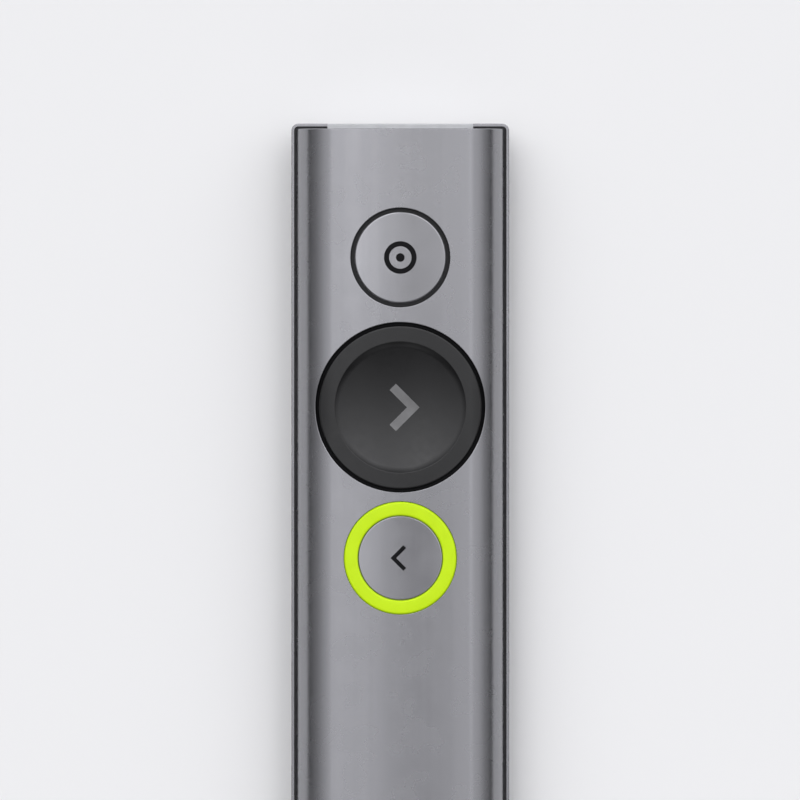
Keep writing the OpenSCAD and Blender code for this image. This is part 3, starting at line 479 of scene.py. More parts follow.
def make_status_window():
    """The milky light bar with square ends, which covers the seam in the front end."""
    low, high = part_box("status_window")
    front = [(low.x, CAVITY_FRONT_Y), (low.x, FRONT_Y), (high.x, FRONT_Y), (high.x, CAVITY_FRONT_Y)]
    bar = plate_from("status_light_bar", front, low.z, LIP_Z)
    cut(bar, block((low.x - MM, CAVITY_FRONT_Y - MM, GASKET_TOP_Z), (high.x + MM, TOP_FRONT_Y, HIGH)))
    soften(bar, 0.12 * MM, lambda e: sharp_at(e, 40) and all(v.co.y > FRONT_Y - EPS for v in e.verts))
    return settle(bar)


def make_tail_frame():
    """The tail plate with the receiver's bay behind it."""
    foot = math.asin((LIP_Z - EDGE_Z) / EDGE_R)
    turn = 90 - math.degrees(CROWN_TURN + foot)
    foot_x = EDGE_X + EDGE_R * math.cos(foot)
    start, runs = bottom_runs(0)
    over = [(foot_x, LIP_Z), (EDGE_X, EDGE_Z, turn, 20),
            (0, CROWN_Z - CROWN_R, 2 * math.degrees(CROWN_TURN), 28),
            (-EDGE_X, EDGE_Z, turn, 20), (-foot_x, LIP_Z)]
    tail = drawn_bar("tail_plate", SHELL_TAIL_Y, TAIL_Y, start, runs + over, nose=TAIL_NOSE)
    sleeve_low = (-SLEEVE_HALF_W, SHELL_TAIL_Y - MM, BAY_Z - SLEEVE_HALF_H)
    sleeve_high = (SLEEVE_HALF_W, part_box("tail_frame")[1].y, BAY_Z + SLEEVE_HALF_H)
    cut(tail, block(sleeve_low, sleeve_high), how="UNION")
    bay = block((-BAY_HALF_W, TAIL_Y - MM, BAY_Z - BAY_HALF_H), (BAY_HALF_W, BAY_END_Y, BAY_Z + BAY_HALF_H))
    soften(bay, 0.5 * MM, along_y, segments=4)
    cut(tail, bay)
    low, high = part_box("charge_socket_shell")
    spare, port_from, port_to = 0.1 * MM, -31 * MM, -28 * MM
    port = block((low.x - spare, port_from, low.z - spare), (high.x + spare, port_to, high.z + spare))
    soften(port, 1.5 * MM, along_y, segments=6)
    cut(tail, port)
    for side in (-1, 1):
        head_x = side * TAIL_SCREW_X
        cut(tail, cross_post(head_x, BAY_Z, 1.4 * MM, TAIL_Y - MM, TAIL_Y + 0.9 * MM, SCREW_STEPS))
        cut(tail, cross_post(head_x, BAY_Z, 0.8 * MM, TAIL_Y - MM, SHELL_TAIL_Y + MM, SCREW_STEPS))
    soften(tail, 0.15 * MM,
           lambda e: sharp_at(e, 50) and all(v.co.y < TAIL_Y + EPS for v in e.verts))
    tidy_skin(tail)
    return settle(tail)


# ---------------------------------------------------------------- buttons

CAP_DROP = 0.05 * MM
PLATE_Z = CROWN_Z - 1.6 * MM
DISH_R, DISH_DROP, DISH_SAG, DISH_SLOPE = 8.38 * MM, 0.55 * MM, 0.8 * MM, 0.5 * MM
DISH_Z = CROWN_Z - DISH_DROP - DISH_SAG
DISH_IN_R = DISH_R - DISH_SLOPE
DISH_BALL_R = (DISH_IN_R * DISH_IN_R + DISH_SAG * DISH_SAG) / (2 * DISH_SAG)
DISH_REACH = math.degrees(math.asin(DISH_IN_R / DISH_BALL_R))
LEGEND_T = 0.4 * MM
INLAY_SINK = 0.015 * MM    # how far an inlaid legend lies below its button's face
SKIRT_T, POST_R, FLANGE_W, FLANGE_T = 0.9 * MM, 1.3 * MM, 0.8 * MM, 0.5 * MM
CHEVRONS = {"next": (6.1 * MM, 1.15 * MM), "back": (3.3 * MM, 0.52 * MM)}     # height and stroke


def cap_runs(key, plate_z):
    """A cap's section: post, plate, skirt, retaining flange, outer wall and rounded rim."""
    low_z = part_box(key + "_button")[0].z
    flange_top, r, round_r = low_z + FLANGE_T, CAP_R[key], CAP_RIM_R[key]
    skirt_r = r - SKIRT_T
    post_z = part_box(key + "_switch_plunger")[1].z
    return (0, post_z), [
        (POST_R, post_z), (POST_R, plate_z), (skirt_r, plate_z), (skirt_r, low_z), (r + FLANGE_W, low_z),
        (r + FLANGE_W, flange_top), (r, flange_top), (r, CROWN_Z - round_r),
        (r - round_r, CROWN_Z - round_r, 90, 6)]


NARROW = 0.1 * MM          # a narrow strip beside a rounded edge keeps its shading off the face


def across(from_r, to_r, z, pace=0.8 * MM):
    """Points along a turned piece's face, inwards: one close to its edge, then evenly spaced ones."""
    start = from_r - NARROW
    count = max(int((start - to_r) / pace), 1)
    return [(start, z)] + [(start + (to_r - start) * step / count, z) for step in range(1, count + 1)]


def make_dish(y):
    """The tool that trims the next button's chevron to the button's dish."""
    return turned("dish", y, (0, DISH_Z), [
        (0, DISH_Z + DISH_BALL_R, DISH_REACH, 24), (DISH_R, CROWN_Z),
        (DISH_R, CROWN_Z + 2 * MM), (0, CROWN_Z + 2 * MM)])


def chevron_points(height, stroke, node, side=1):
    """A chevron's corners, centred on a CAD node's box, pointing along +X where side is 1."""
    low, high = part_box(node)
    middle_x, y = (low.x + high.x) / 2, (low.y + high.y) / 2
    arm, notch = height / 2, stroke * math.sqrt(2)
    shift = (arm + notch / 2) / 2
    corners = [(notch / 2, arm), (arm + notch / 2, 0), (notch / 2, -arm),
               (0, notch / 2 - arm), (arm - notch / 2, 0), (0, arm - notch / 2)]
    return [(middle_x + side * (x - shift), y + rise) for x, rise in corners]


def make_pointer_button():
    """The pointer button, with its pocketed ring and dot legends."""
    y, top = BUTTON_YS["pointer"], CROWN_Z
    floor_z, under = CROWN_Z - LEGEND_T, CROWN_Z - 2 * LEGEND_T
    start, runs = cap_runs("pointer", PLATE_Z)
    ring_r, ring_in_r, dot_r = 2.1 * MM, 1.44 * MM, 0.56 * MM
    runs += across(CAP_R["pointer"] - CAP_RIM_R["pointer"], ring_r, top)
    runs += [(ring_r, floor_z), (ring_in_r, floor_z), (ring_in_r, top), (dot_r, top), (dot_r, floor_z),
             (0, floor_z)]
    cap = lay_on_crown(turned("pointer_cap", y, start, runs), under, CAP_DROP)
    sunk, edge = top - INLAY_SINK, 0.04 * MM
    outer, inner, dot_edge = 2.09 * MM, 1.45 * MM, 0.55 * MM
    ring = turned("pointer_ring_inlay", y, (inner, floor_z), [
        (outer, floor_z), (outer, sunk - edge), (outer - edge, sunk), (inner + edge, sunk),
        (inner, sunk - edge), (inner, floor_z)])
    dot = turned("pointer_dot_inlay", y, (0, floor_z), [
        (dot_edge, floor_z), (dot_edge, sunk - edge), (dot_edge - edge, sunk), (0, sunk)], steps=72)
    for inlay in (ring, dot):
        lay_on_crown(inlay, under, CAP_DROP)
    return settle(cap), settle(ring), settle(dot)


def make_next_button():
    """The dished next button, with its inlaid chevron."""
    y, lip_r, edge_z = BUTTON_YS["next"], 0.12 * MM, CROWN_Z - DISH_DROP
    start, runs = cap_runs("next", DISH_Z - 0.85 * MM)
    rim = DISH_R + lip_r
    runs += across(CAP_R["next"] - CAP_RIM_R["next"], rim + NARROW, CROWN_Z, 0.5 * MM)
    runs += [(rim, CROWN_Z), (rim, CROWN_Z - lip_r, 50, 5), (DISH_IN_R, edge_z),
             (0, DISH_Z + DISH_BALL_R, -DISH_REACH, 30)]
    cap = lay_on_crown(turned("next_cap", y, start, runs), edge_z, CAP_DROP, DISH_R - 0.1 * MM, y)
    points = chevron_points(*CHEVRONS["next"], "next_chevron")
    cut(cap, plate_from("mark", points, DISH_Z - LEGEND_T, CROWN_Z))
    mark = plate_from("next_chevron_inlay", points, DISH_Z - LEGEND_T, CROWN_Z)
    cut(mark, make_dish(y))
    tidy_skin(cap)
    return settle(cap), settle(mark)


def make_back_button():
    """The back button, with its inlaid chevron."""
    y = BUTTON_YS["back"]
    start, runs = cap_runs("back", PLATE_Z)
    runs += across(CAP_R["back"] - CAP_RIM_R["back"], 0, CROWN_Z)
    cap = lay_on_crown(turned("back_cap", y, start, runs), CROWN_Z - LEGEND_T, CAP_DROP)
    points = chevron_points(*CHEVRONS["back"], "back_chevron", side=-1)
    cut(cap, plate_from("mark", points, CROWN_Z - LEGEND_T, CROWN_Z + MM))
    mark = plate_from("back_chevron_inlay", points, CROWN_Z - LEGEND_T, CROWN_Z + MM)
    cut(mark, crown_bar("crown", y - 0.01, y + 0.01, CAP_DROP + INLAY_SINK, 0), how="INTERSECT")
    tidy_skin(cap)
    return settle(cap), settle(mark)


def make_light_ring():
    """The lime light ring: a softened band that stands a little proud, on a flange under the shell."""
    y = BUTTON_YS["back"]
    low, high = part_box("back_light_ring")
    inner, outer, round_r = 5.48 * MM, 7.21 * MM, 0.26 * MM
    flange_r = outer + 0.73 * MM
    flange_top = CROWN_Z - WALL - 0.03 * MM
    flange_low = flange_top - 0.6 * MM
    band = turned("lime_light_ring", y, (inner, low.z), [
        (outer, low.z), (outer, flange_low), (flange_r, flange_low), (flange_r, flange_top),
        (outer, flange_top), (outer, CROWN_Z - round_r), (outer - round_r, CROWN_Z - round_r, 90, 8),
        (inner + round_r, CROWN_Z), (inner + round_r, CROWN_Z - round_r, 90, 8), (inner, low.z)])
    lay_on_crown(band, CROWN_Z - 0.8 * MM, -0.2 * MM)
    cut(band, block((-WIDE, low.y, 0), (WIDE, high.y, HIGH)), how="INTERSECT")
    tidy_skin(band)
    return settle(band)


# ---------------------------------------------------------------- receiver

def make_receiver_half(name, side):
    """One half of the receiver's housing, with a softened outside."""
    low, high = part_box("receiver_top" if side > 0 else "receiver_bottom")
    half = block(low, high, name)
    soften(half, 0.45 * MM, lambda e: along_y(e) and side * (e.verts[0].co.z - BAY_Z) > 1 * MM, segments=4)
    soften(half, 0.25 * MM, lambda e: sharp_at(e, 50) and all(v.co.y < low.y + EPS for v in e.verts)
           and any(side * (v.co.z - BAY_Z) > EPS for v in e.verts))
    room_w, room_h, end_wall = high.x - 0.7 * MM, 2.4 * MM, 1.2 * MM
    cut(half, block((-room_w, low.y + end_wall, BAY_Z - room_h), (room_w, high.y - end_wall, BAY_Z + room_h)))
    cut(half, block((-PLUG_HALF_W, high.y - 2.4 * MM, BAY_Z - PLUG_HALF_H),
                    (PLUG_HALF_W, high.y + MM, BAY_Z + PLUG_HALF_H)))
    cut(half, block((-TAB_HALF_W, low.y - MM, BAY_Z - TAB_HALF_T),
                    (TAB_HALF_W, low.y + 2 * MM, BAY_Z + TAB_HALF_T)))
    tidy_skin(half)
    return settle(half)


def make_pull_tab():
    """The rubber pull tab with its lanyard slot."""
    low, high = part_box("receiver_pull_tab")
    root_y = high.y - 1.2 * MM
    tab = block((-TAB_HALF_W, low.y, BAY_Z - TAB_HALF_T),
                (TAB_HALF_W, root_y, BAY_Z + TAB_HALF_T), "pull_tab")
    soften(tab, 2 * MM, lambda e: upright(e) and e.verts[0].co.y < low.y + EPS, segments=12)
    slot = block((-3 * MM, low.y + 1.3 * MM, BAY_Z - 2 * MM), (3 * MM, low.y + 3.1 * MM, BAY_Z + 2 * MM))
    soften(slot, 0.88 * MM, upright, segments=10)
    cut(tab, slot)
    soften(tab, 0.35 * MM, lambda e: sharp_at(e, 50) and not upright(e)
           and all(v.co.y < root_y - EPS for v in e.verts), segments=4)
    hook = block((low.x, root_y, low.z), high)
    cut(tab, hook, how="UNION")
    tidy_skin(tab)
    return settle(tab)


def make_plug_shell():
    """The plug's rolled steel shell, with its latch windows and the seam under it."""
    low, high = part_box("receiver_plug_shell")
    shell = block(low, high, "plug_sleeve")
    soften(shell, 0.55 * MM, along_y, segments=6)
    steel = 0.3 * MM
    room = block((low.x + steel, low.y - MM, low.z + steel), (high.x - steel, high.y + MM, high.z - steel))
    soften(room, 0.25 * MM, along_y, segments=6)
    cut(shell, room)
    for side in (-1, 1):
        near, far = sorted((side * 1.6 * MM, side * 3.6 * MM))
        cut(shell, block((near, high.y - 7.2 * MM, 0), (far, high.y - 5.2 * MM, HIGH)))
    cut(shell, block((-0.03 * MM, low.y - MM, low.z - MM), (0.03 * MM, high.y + MM, low.z + steel / 2)))
    soften(shell, 0.06 * MM,
           lambda e: sharp_at(e, 60) and all(v.co.y > high.y - EPS for v in e.verts), segments=2)
    tidy_skin(shell)
    return settle(shell)


def make_battery_pad():
    """The thin foam strip under the battery."""
    low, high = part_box("battery_pad")
    pad = block(low, high, "battery_foam_strip")
    open_up(pad)
    bpy.ops.mesh.select_all(action="SELECT")
    bpy.ops.mesh.subdivide(number_cuts=8)
    put_down()
    soften(pad, 0.08 * MM, lambda e: sharp_at(e, 60), segments=2)
    return settle(pad)


# ---------------------------------------------------------------- finishes

class Finish:
    """A procedural finish, built from named nodes on one shader."""

    def __init__(self, name, colour, metal=0.0, rough=0.5):
        """Starts the finish with a plain colour, metal share and roughness."""
        self.material = bpy.data.materials.new(name)
        self.material.use_nodes = True
        self.tree = self.material.node_tree
        self.shader = self.tree.nodes["Principled BSDF"]
        self.shader.inputs["Base Color"].default_value = (*colour, 1)
        self.shader.inputs["Metallic"].default_value = metal
        self.shader.inputs["Roughness"].default_value = rough
        self.place = self.tree.nodes.new("ShaderNodeTexCoord").outputs["Object"]
        self.bump_out = None

    def node(self, kind, **settings):
        """Adds a node of a kind."""
        made = self.tree.nodes.new("ShaderNode" + kind)
        for key, value in settings.items():
            setattr(made, key, value)
        return made

    def join(self, source, target):
        """Links an output to an input."""
        self.tree.links.new(source, target)

    def stretched(self, scale):
        """The piece's coordinates, stretched along each direction."""
        mapping = self.node("Mapping")
        mapping.inputs["Scale"].default_value = scale
        self.join(self.place, mapping.inputs["Vector"])
        return mapping.outputs["Vector"]

    def grain(self, scale, detail=3.0, rough=0.5, stretch=(1, 1, 1)):
        """A noise with its size in grains per metre."""
        noise = self.node("TexNoise")
        noise.inputs["Scale"].default_value = scale
        noise.inputs["Detail"].default_value = detail
        noise.inputs["Roughness"].default_value = rough
        self.join(self.stretched(stretch), noise.inputs["Vector"])
        return noise.outputs["Fac"]

    def pits(self, scale):
        """A field of small cells."""
        cells = self.node("TexVoronoi")
        cells.inputs["Scale"].default_value = scale
        self.join(self.stretched((1, 1, 1)), cells.inputs["Vector"])
        return cells.outputs["Distance"]

    def between(self, value, stops):
        """A value turned to a colour or a grey through stops of (position, colour)."""
        ramp = self.node("ValToRGB")
        marks = ramp.color_ramp.elements
        while len(marks) < len(stops):
            marks.new(0.5)
        for mark, (at, colour) in zip(marks, stops):
            mark.position = at
            mark.color = (*colour, 1) if len(colour) == 3 else colour
        self.join(value, ramp.inputs["Fac"])
        return ramp.outputs["Color"]

    def tint(self, value, low, high, at=(0.35, 0.65)):
        """Colours the surface between two colours by a value."""
        self.join(self.between(value, [(at[0], low), (at[1], high)]), self.shader.inputs["Base Color"])

    def polish(self, value, low, high, at=(0.3, 0.7)):
        """Varies the roughness between two levels by a value."""
        span = self.node("MapRange")
        span.inputs["From Min"].default_value, span.inputs["From Max"].default_value = at
        span.inputs["To Min"].default_value, span.inputs["To Max"].default_value = low, high
        self.join(value, span.inputs["Value"])
        self.join(span.outputs["Result"], self.shader.inputs["Roughness"])

    def raise_by(self, value, height, strength):
        """Raises the surface's shading by a value, up to a height."""
        bump = self.node("Bump")
        bump.inputs["Strength"].default_value = strength
        bump.inputs["Distance"].default_value = height
        self.join(value, bump.inputs["Height"])
        if self.bump_out is not None:
            self.join(self.bump_out, bump.inputs["Normal"])
        self.bump_out = bump.outputs["Normal"]
        self.join(self.bump_out, self.shader.inputs["Normal"])


def grey(level, blue=0.0):
    """A grey, with a little more blue where asked."""
    return (level, level, level + blue)


def anodised_finish(name, level, rough):
    """Bead-blasted, anodised aluminium with a fine grain and faint extrusion lines."""
    skin = Finish(name, grey(level, 0.03), metal=1.0, rough=rough)
    lines = skin.grain(900, detail=2, stretch=(1, 0.012, 1))
    skin.tint(lines, (level * 0.98, level * 0.98, level * 1.03),
              (level * 1.015, level * 1.015, level * 1.065))
    skin.polish(skin.grain(260, detail=4), rough - 0.02, rough + 0.03)
    skin.raise_by(skin.grain(9000, detail=2), 0.006 * MM, 0.35)
    skin.raise_by(skin.pits(5200), 0.004 * MM, 0.2)
    return skin.material


def moulded_finish(name, colour, rough, sheen=0.5, grain=7000, vary=0.12):
    """Moulded plastic with a fine spark-eroded texture."""
    skin = Finish(name, colour, rough=rough)
    skin.shader.inputs["Specular IOR Level"].default_value = sheen
    low = tuple(c * (1 - vary) for c in colour)
    high = tuple(c * (1 + vary) for c in colour)
    skin.tint(skin.grain(500, detail=4), low, high)
    skin.polish(skin.grain(1300, detail=3), rough - 0.03, rough + 0.04)
    skin.raise_by(skin.grain(grain, detail=2), 0.006 * MM, 0.4)
    return skin.material


def rubber_finish(name, colour, rough=0.62):
    """Silicone or rubber with a soft, dusty surface."""
    skin = Finish(name, colour, rough=rough)
    skin.shader.inputs["Specular IOR Level"].default_value = 0.4
    skin.shader.inputs["Sheen Weight"].default_value = 0.15
    skin.tint(skin.grain(700, detail=5), tuple(c * 0.8 for c in colour), tuple(c * 1.3 for c in colour))
    skin.raise_by(skin.pits(4200), 0.01 * MM, 0.3)
    return skin.material


def steel_finish(name, level, rough, stretch=(1, 0.03, 1), warm=0.0):
    """Rolled or plated metal with fine lines."""
    colour = (level + warm, level + warm * 0.5, level)
    skin = Finish(name, colour, metal=1.0, rough=rough)
    lines = skin.grain(6000, detail=3, stretch=stretch)
    skin.tint(lines, tuple(c * 0.9 for c in colour), tuple(min(c * 1.06, 0.95) for c in colour))
    skin.polish(lines, rough - 0.05, rough + 0.07)
    skin.raise_by(lines, 0.003 * MM, 0.3)
    return skin.material


def lime_finish():
    """Translucent lime plastic with a faint mottle and a soft glow. The glow is partly the lit ring's own
    light and partly painted light, strong enough to lift the shade on its rounded edges and in the gap beside
    it.
    """
    skin = Finish("lime_glow_with_painted_fill", (0.41, 0.58, 0.008), rough=0.34)
    skin.shader.inputs["Specular IOR Level"].default_value = 0.18
    skin.shader.inputs["Subsurface Weight"].default_value = 0.15
    skin.shader.inputs["Subsurface Radius"].default_value = (0.001, 0.0012, 0.0002)
    # Painted light: this emission is set above the ring's own glow, so that it brightens the ring's shaded
    # rounded edges and the dark gap round it.
    skin.shader.inputs["Emission Color"].default_value = (0.5, 0.8, 0.005, 1)
    skin.shader.inputs["Emission Strength"].default_value = 0.3
    skin.tint(skin.grain(420, detail=3), (0.40, 0.565, 0.007), (0.43, 0.60, 0.009))
    skin.polish(skin.grain(1500), 0.31, 0.38)
    skin.raise_by(skin.grain(5000, detail=2), 0.003 * MM, 0.3)
    return skin.material


def window_finish():
    """Milky, satin light-bar plastic."""
    skin = Finish("window_milk", (0.55, 0.56, 0.57), rough=0.38)
    skin.shader.inputs["Transmission Weight"].default_value = 0.12
    skin.shader.inputs["Subsurface Weight"].default_value = 0.1
    skin.shader.inputs["Subsurface Radius"].default_value = (0.0012, 0.0012, 0.0012)
    skin.tint(skin.grain(600, detail=4), (0.50, 0.51, 0.525), (0.56, 0.57, 0.585))
    skin.raise_by(skin.grain(5000, detail=2), 0.004 * MM, 0.3)
    return skin.material


def board_finish():
    """Green solder mask over copper lines that run in patches."""
    skin = Finish("solder_mask", (0.02, 0.14, 0.07), rough=0.32)
    tracks = skin.node("TexBrick", offset=0.37, offset_frequency=3)
    for socket, value in (("Scale", 300), ("Mortar Size", 0.025), ("Brick Width", 3.2), ("Row Height", 0.17)):
        tracks.inputs[socket].default_value = value
    skin.join(skin.stretched((1, 1, 0.001)), tracks.inputs["Vector"])
    patch = skin.between(skin.grain(150, detail=2), [(0.49, grey(0)), (0.51, grey(1))])
    lines = skin.node("Math", operation="MULTIPLY")
    skin.join(tracks.outputs["Fac"], lines.inputs[0])
    skin.join(patch, lines.inputs[1])
    skin.tint(lines.outputs["Value"], (0.018, 0.13, 0.065), (0.045, 0.26, 0.13), at=(0.1, 0.9))
    skin.polish(skin.grain(2000), 0.28, 0.38)
    skin.raise_by(lines.outputs["Value"], 0.02 * MM, 0.3)
    return skin.material


def two_wire_finish(name, right, left):
    """Insulation whose colour differs between the wires right and left of the middle."""
    skin = Finish(name, right, rough=0.4)
    parts = skin.node("SeparateXYZ")
    skin.join(skin.place, parts.inputs["Vector"])
    side = skin.node("MapRange")
    side.inputs["From Min"].default_value, side.inputs["From Max"].default_value = -0.00001, 0.00001
    skin.join(parts.outputs["X"], side.inputs["Value"])
    skin.tint(side.outputs["Result"], left, right, at=(0.45, 0.55))
    skin.polish(skin.grain(3000), 0.35, 0.46)
    skin.raise_by(skin.grain(7000), 0.005 * MM, 0.3)
    return skin.material


def foil_finish():
    """Crinkled pouch foil with a soft satin."""
    skin = Finish("pouch_foil", (0.6, 0.61, 0.63), metal=1.0, rough=0.4)
    crinkle = skin.grain(420, detail=6, rough=0.6)
    skin.tint(crinkle, (0.52, 0.53, 0.55), (0.66, 0.67, 0.69))
    skin.polish(crinkle, 0.32, 0.5)
    skin.raise_by(crinkle, 0.05 * MM, 0.4)
    return skin.material


FINISHES = {
    "anodised_shell": anodised_finish("anodised_slate", 0.30, 0.26),
    "dark_plastic": moulded_finish("next_button_satin", (0.0048, 0.0048, 0.0052), 0.32, sheen=0.5),
    "black_plastic": moulded_finish("black_moulding", (0.016, 0.016, 0.018), 0.5),
    "black_ink": moulded_finish("black_inlay", (0.005, 0.005, 0.006), 0.6, sheen=0.12),
    "grey_ink": moulded_finish("grey_inlay", (0.145, 0.145, 0.147), 0.5),
    "black_rubber": rubber_finish("black_silicone", (0.022, 0.022, 0.024)),
    "window_plastic": window_finish(),
    "lime_plastic": lime_finish(),
    "spring_steel": steel_finish("spring_steel", 0.60, 0.3),
    "plated_steel": steel_finish("nickel_plate", 0.63, 0.22),
    "plunger_plastic": moulded_finish("red_plunger", (0.45, 0.055, 0.045), 0.45),
    "board": board_finish(),
    "chip": moulded_finish("moulded_epoxy", (0.02, 0.02, 0.022), 0.48, grain=9000),
    "ceramic": moulded_finish("fired_ceramic", (0.68, 0.68, 0.63), 0.42, vary=0.05),
    "led": moulded_finish("clear_resin", (0.8, 0.8, 0.55), 0.18, vary=0.04),
    "battery_foil": foil_finish(),
    "foam": rubber_finish("closed_cell_foam", (0.05, 0.05, 0.05), 0.85),
    "wire": two_wire_finish("battery_wire", (0.5, 0.03, 0.025), (0.02, 0.02, 0.022)),
    "weight_metal": steel_finish("tungsten_weight", 0.3, 0.45, stretch=(1, 1, 1)),
    "white_plastic": moulded_finish("white_tongue", (0.78, 0.78, 0.77), 0.4, vary=0.04),
    "gold_plate": steel_finish("gold_contacts", 0.45, 0.25, warm=0.35),
}
CAP_SLATE = anodised_finish("anodised_cap", 0.30, 0.20)
# Painted shade: the next button's bezel is blacker and duller than the other black mouldings. This is partly
# the bezel's own black and partly stands for the shade deep in the gap round the button.
BEZEL_BLACK_GAP_SHADE = moulded_finish("bezel_black_gap_shade", (0.003, 0.003, 0.0035), 0.6, sheen=0.1)
BEZEL_GREY = moulded_finish("bezel_charcoal", (0.014, 0.014, 0.015), 0.55, sheen=0.25)
MOTOR_WIRE = two_wire_finish("motor_wire", (0.5, 0.03, 0.025), (0.03, 0.07, 0.35))


def dress(piece, slot, body, *nodes, finish=None):
    """Gives a new piece its finish, its body and the CAD parts that it stands for."""
    piece.data.materials.clear()
    piece.data.materials.append(finish or FINISHES[slot])
    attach(piece, body)
    if nodes:
        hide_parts(*nodes)


dress(make_top_shell(), "anodised_shell", "housing", "top_shell")
dress(make_bottom_shell(), "anodised_shell", "housing", "bottom_shell")
dress(make_status_window(), "window_plastic", "housing", "status_window")
dress(make_tail_frame(), "black_plastic", "housing", "tail_frame")
pointer_cap, pointer_ring, pointer_dot = make_pointer_button()
dress(pointer_cap, "anodised_shell", "pointer_key", "pointer_button", finish=CAP_SLATE)
dress(pointer_ring, "black_ink", "pointer_key", "pointer_icon_ring")
dress(pointer_dot, "black_ink", "pointer_key", "pointer_icon_dot")
next_cap, next_mark = make_next_button()
dress(next_cap, "dark_plastic", "next_key", "next_button")
dress(next_mark, "grey_ink", "next_key", "next_chevron")
back_cap, back_mark = make_back_button()
dress(back_cap, "anodised_shell", "back_key", "back_button", finish=CAP_SLATE)
dress(back_mark, "black_ink", "back_key", "back_chevron")
dress(make_light_ring(), "lime_plastic", "housing", "back_light_ring")
dress(make_receiver_half("receiver_upper_half", 1), "black_plastic", "receiver", "receiver_top")
dress(make_receiver_half("receiver_lower_half", -1), "black_plastic", "receiver", "receiver_bottom")
dress(make_pull_tab(), "black_rubber", "receiver", "receiver_pull_tab")
dress(make_plug_shell(), "plated_steel", "receiver", "receiver_plug_shell")
foam_strip = make_battery_pad()
dress(foam_strip, "foam", "housing", "battery_pad")

# The parts that keep their CAD shape
NODE_SLOTS = {
    "black_rubber": ["seam_gasket", "motor_boot"],
    "plated_steel": ["tail_screws", "chassis_screws", "board_screws", "radio_shield", "charge_socket_shell",
                     "motor_can", "motor_shaft"],
    "black_plastic": ["chassis", "charge_socket_tongue", "pointer_switch_base",
                      "next_switch_base", "back_switch_base"],
    "spring_steel": ["pointer_switch_cover", "next_switch_cover", "back_switch_cover", "pointer_switch_dome",
                     "next_switch_dome", "back_switch_dome"],
    "plunger_plastic": ["pointer_switch_plunger", "next_switch_plunger", "back_switch_plunger"],
    "board": ["main_board", "battery_guard_board", "receiver_board"],
    "chip": ["controller_chip", "receiver_chip"],
    "ceramic": ["chip_antenna"],
    "led": ["status_leds", "ring_leds"],
    "battery_foil": ["battery_cell"],
    "wire": ["battery_leads", "motor_leads"],
    "weight_metal": ["motor_weight"],
    "white_plastic": ["receiver_plug_tongue"],
    "gold_plate": ["receiver_plug_contacts"],
}
NODE_FINISHES = {name: FINISHES[slot] for slot, names in NODE_SLOTS.items() for name in names}
NODE_FINISHES.update({"pointer_bezel": BEZEL_GREY, "next_bezel": BEZEL_BLACK_GAP_SHADE, "motor_leads": MOTOR_WIRE})
for name, finish in NODE_FINISHES.items():
    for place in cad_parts[name].material_slots:
        place.material = finish


# ---------------------------------------------------------------- floor, light and camera

def make_floor():
    """A wide pale floor that keeps the clicker's soft shadow."""
    put_down()
    bpy.ops.mesh.primitive_plane_add(size=12, location=(0, 0, -0.03 * MM))
    floor = name_it("floor")
    paint = Finish("pale_floor", (0.84, 0.84, 0.84), rough=0.9)
    paint.shader.inputs["Specular IOR Level"].default_value = 0.0
    paint.tint(paint.grain(3, detail=2), (0.838, 0.838, 0.838), (0.842, 0.842, 0.842))
    floor.data.materials.append(paint.material)


SKY_TOP = 2.7               # the top of the sky's curves
SKY_LEVELS = {              # the sky's brightness along each direction, as (direction's part, level)
    "X": [(-1, 0.19), (-0.96, 0.45), (-0.88, 0.40), (-0.76, 0.46), (-0.6, 0.63), (-0.42, 0.76), (-0.25, 0.75),
          (-0.12, 1.50), (-0.04, 0.66), (0.04, 0.30), (0.12, 0.62), (0.25, 1.27), (0.42, 0.74), (0.6, 0.83),
          (0.76, 0.66), (0.88, 0.49), (0.96, 0.60), (1, 0)],
    "Y": [(-1, 0.90), (-0.8, 0.80), (-0.62, 0.30), (-0.4, 0.14), (-0.2, 0.64), (0, 1.20), (0.2, 1.95),
          (0.4, 2.68), (0.62, 2.42), (1, 2.0)],
    "Z": [(-1, 0.25), (0, 0.25), (0.3, 0.50), (0.6, 0.86), (1, 1.0)],
}


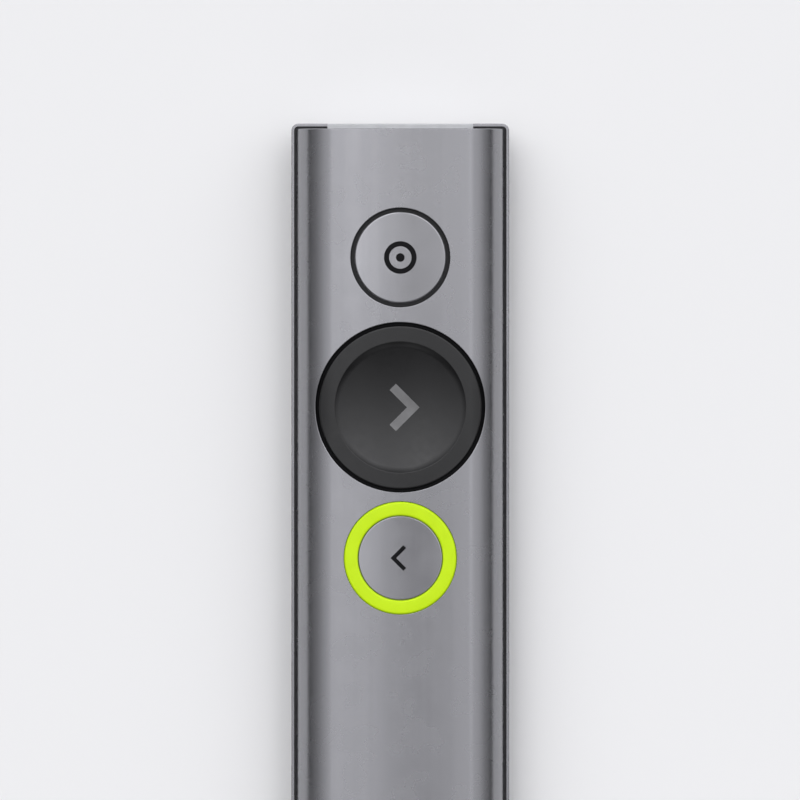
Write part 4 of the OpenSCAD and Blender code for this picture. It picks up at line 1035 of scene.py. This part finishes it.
def make_sky():
    """A long soft light overhead, in line with the clicker: it fades to both sides and grows to the front."""
    world = bpy.data.worlds.new("studio")
    bpy.context.scene.world = world
    world.use_nodes = True
    tree = world.node_tree
    background = tree.nodes["Background"]
    background.inputs["Color"].default_value = (1.0, 1.0, 1.03, 1)
    place = tree.nodes.new("ShaderNodeTexCoord")
    parts = tree.nodes.new("ShaderNodeSeparateXYZ")
    tree.links.new(place.outputs["Generated"], parts.inputs["Vector"])
    level = None
    for way, stops in SKY_LEVELS.items():
        curve = tree.nodes.new("ShaderNodeFloatCurve")
        marks = curve.mapping.curves[0].points
        while len(marks) < len(stops):
            marks.new(0.5, 0.5)
        for mark, (at, value) in zip(marks, stops):
            mark.location = ((at + 1) / 2, value / SKY_TOP)
            mark.handle_type = "VECTOR"
        curve.mapping.update()
        half = tree.nodes.new("ShaderNodeMapRange")
        half.inputs["From Min"].default_value = -1
        tree.links.new(parts.outputs[way], half.inputs["Value"])
        tree.links.new(half.outputs["Result"], curve.inputs["Value"])
        scaled = tree.nodes.new("ShaderNodeMath")
        scaled.operation = "MULTIPLY"
        tree.links.new(curve.outputs["Value"], scaled.inputs[0])
        if level is None:
            scaled.inputs[1].default_value = SKY_TOP ** len(SKY_LEVELS)
        else:
            tree.links.new(level, scaled.inputs[1])
        level = scaled.outputs["Value"]
    tree.links.new(level, background.inputs["Strength"])


def hang_lamp(name, kind, energy, place=(0, 0, 1)):
    """Hangs one lamp that shines straight down."""
    lamp = bpy.data.lights.new(name, kind)
    lamp.energy = energy
    holder = bpy.data.objects.new(name, lamp)
    bpy.context.scene.collection.objects.link(holder)
    holder.location = place
    holder.visible_camera = False
    return lamp, holder


def make_lamps():
    """A soft key lamp that adds no gloss, and a low soft box that only adds gloss to the front half."""
    key, holder = hang_lamp("key", "SUN", 0.68)
    key.angle = math.radians(60)
    holder.rotation_euler = (math.radians(-38), math.radians(-20), 0)
    holder.visible_glossy = False
    box, holder = hang_lamp("front_soft_box", "AREA", 0.0094, place=(0, 0.12, 0.15))
    box.shape = "RECTANGLE"
    box.size, box.size_y = 0.06, 0.16
    holder.visible_diffuse = False


def make_camera():
    """The camera looks straight down from far off."""
    lens = bpy.data.cameras.new("overhead")
    lens.lens = 900
    lens.sensor_width = 36
    lens.clip_start, lens.clip_end = 0.01, 30
    camera = bpy.data.objects.new("overhead", lens)
    bpy.context.scene.collection.objects.link(camera)
    across_view, view_z = 0.1031, 9.8 * MM     # width of the picture, and the height where it is measured
    camera.location = (-0.04 * MM, 0.0300, view_z + across_view * lens.lens / lens.sensor_width)
    camera.rotation_euler = (0, 0, 0)
    bpy.context.scene.camera = camera


make_floor()
make_sky()
make_lamps()
make_camera()
bpy.context.scene.view_settings.view_transform = "Standard"
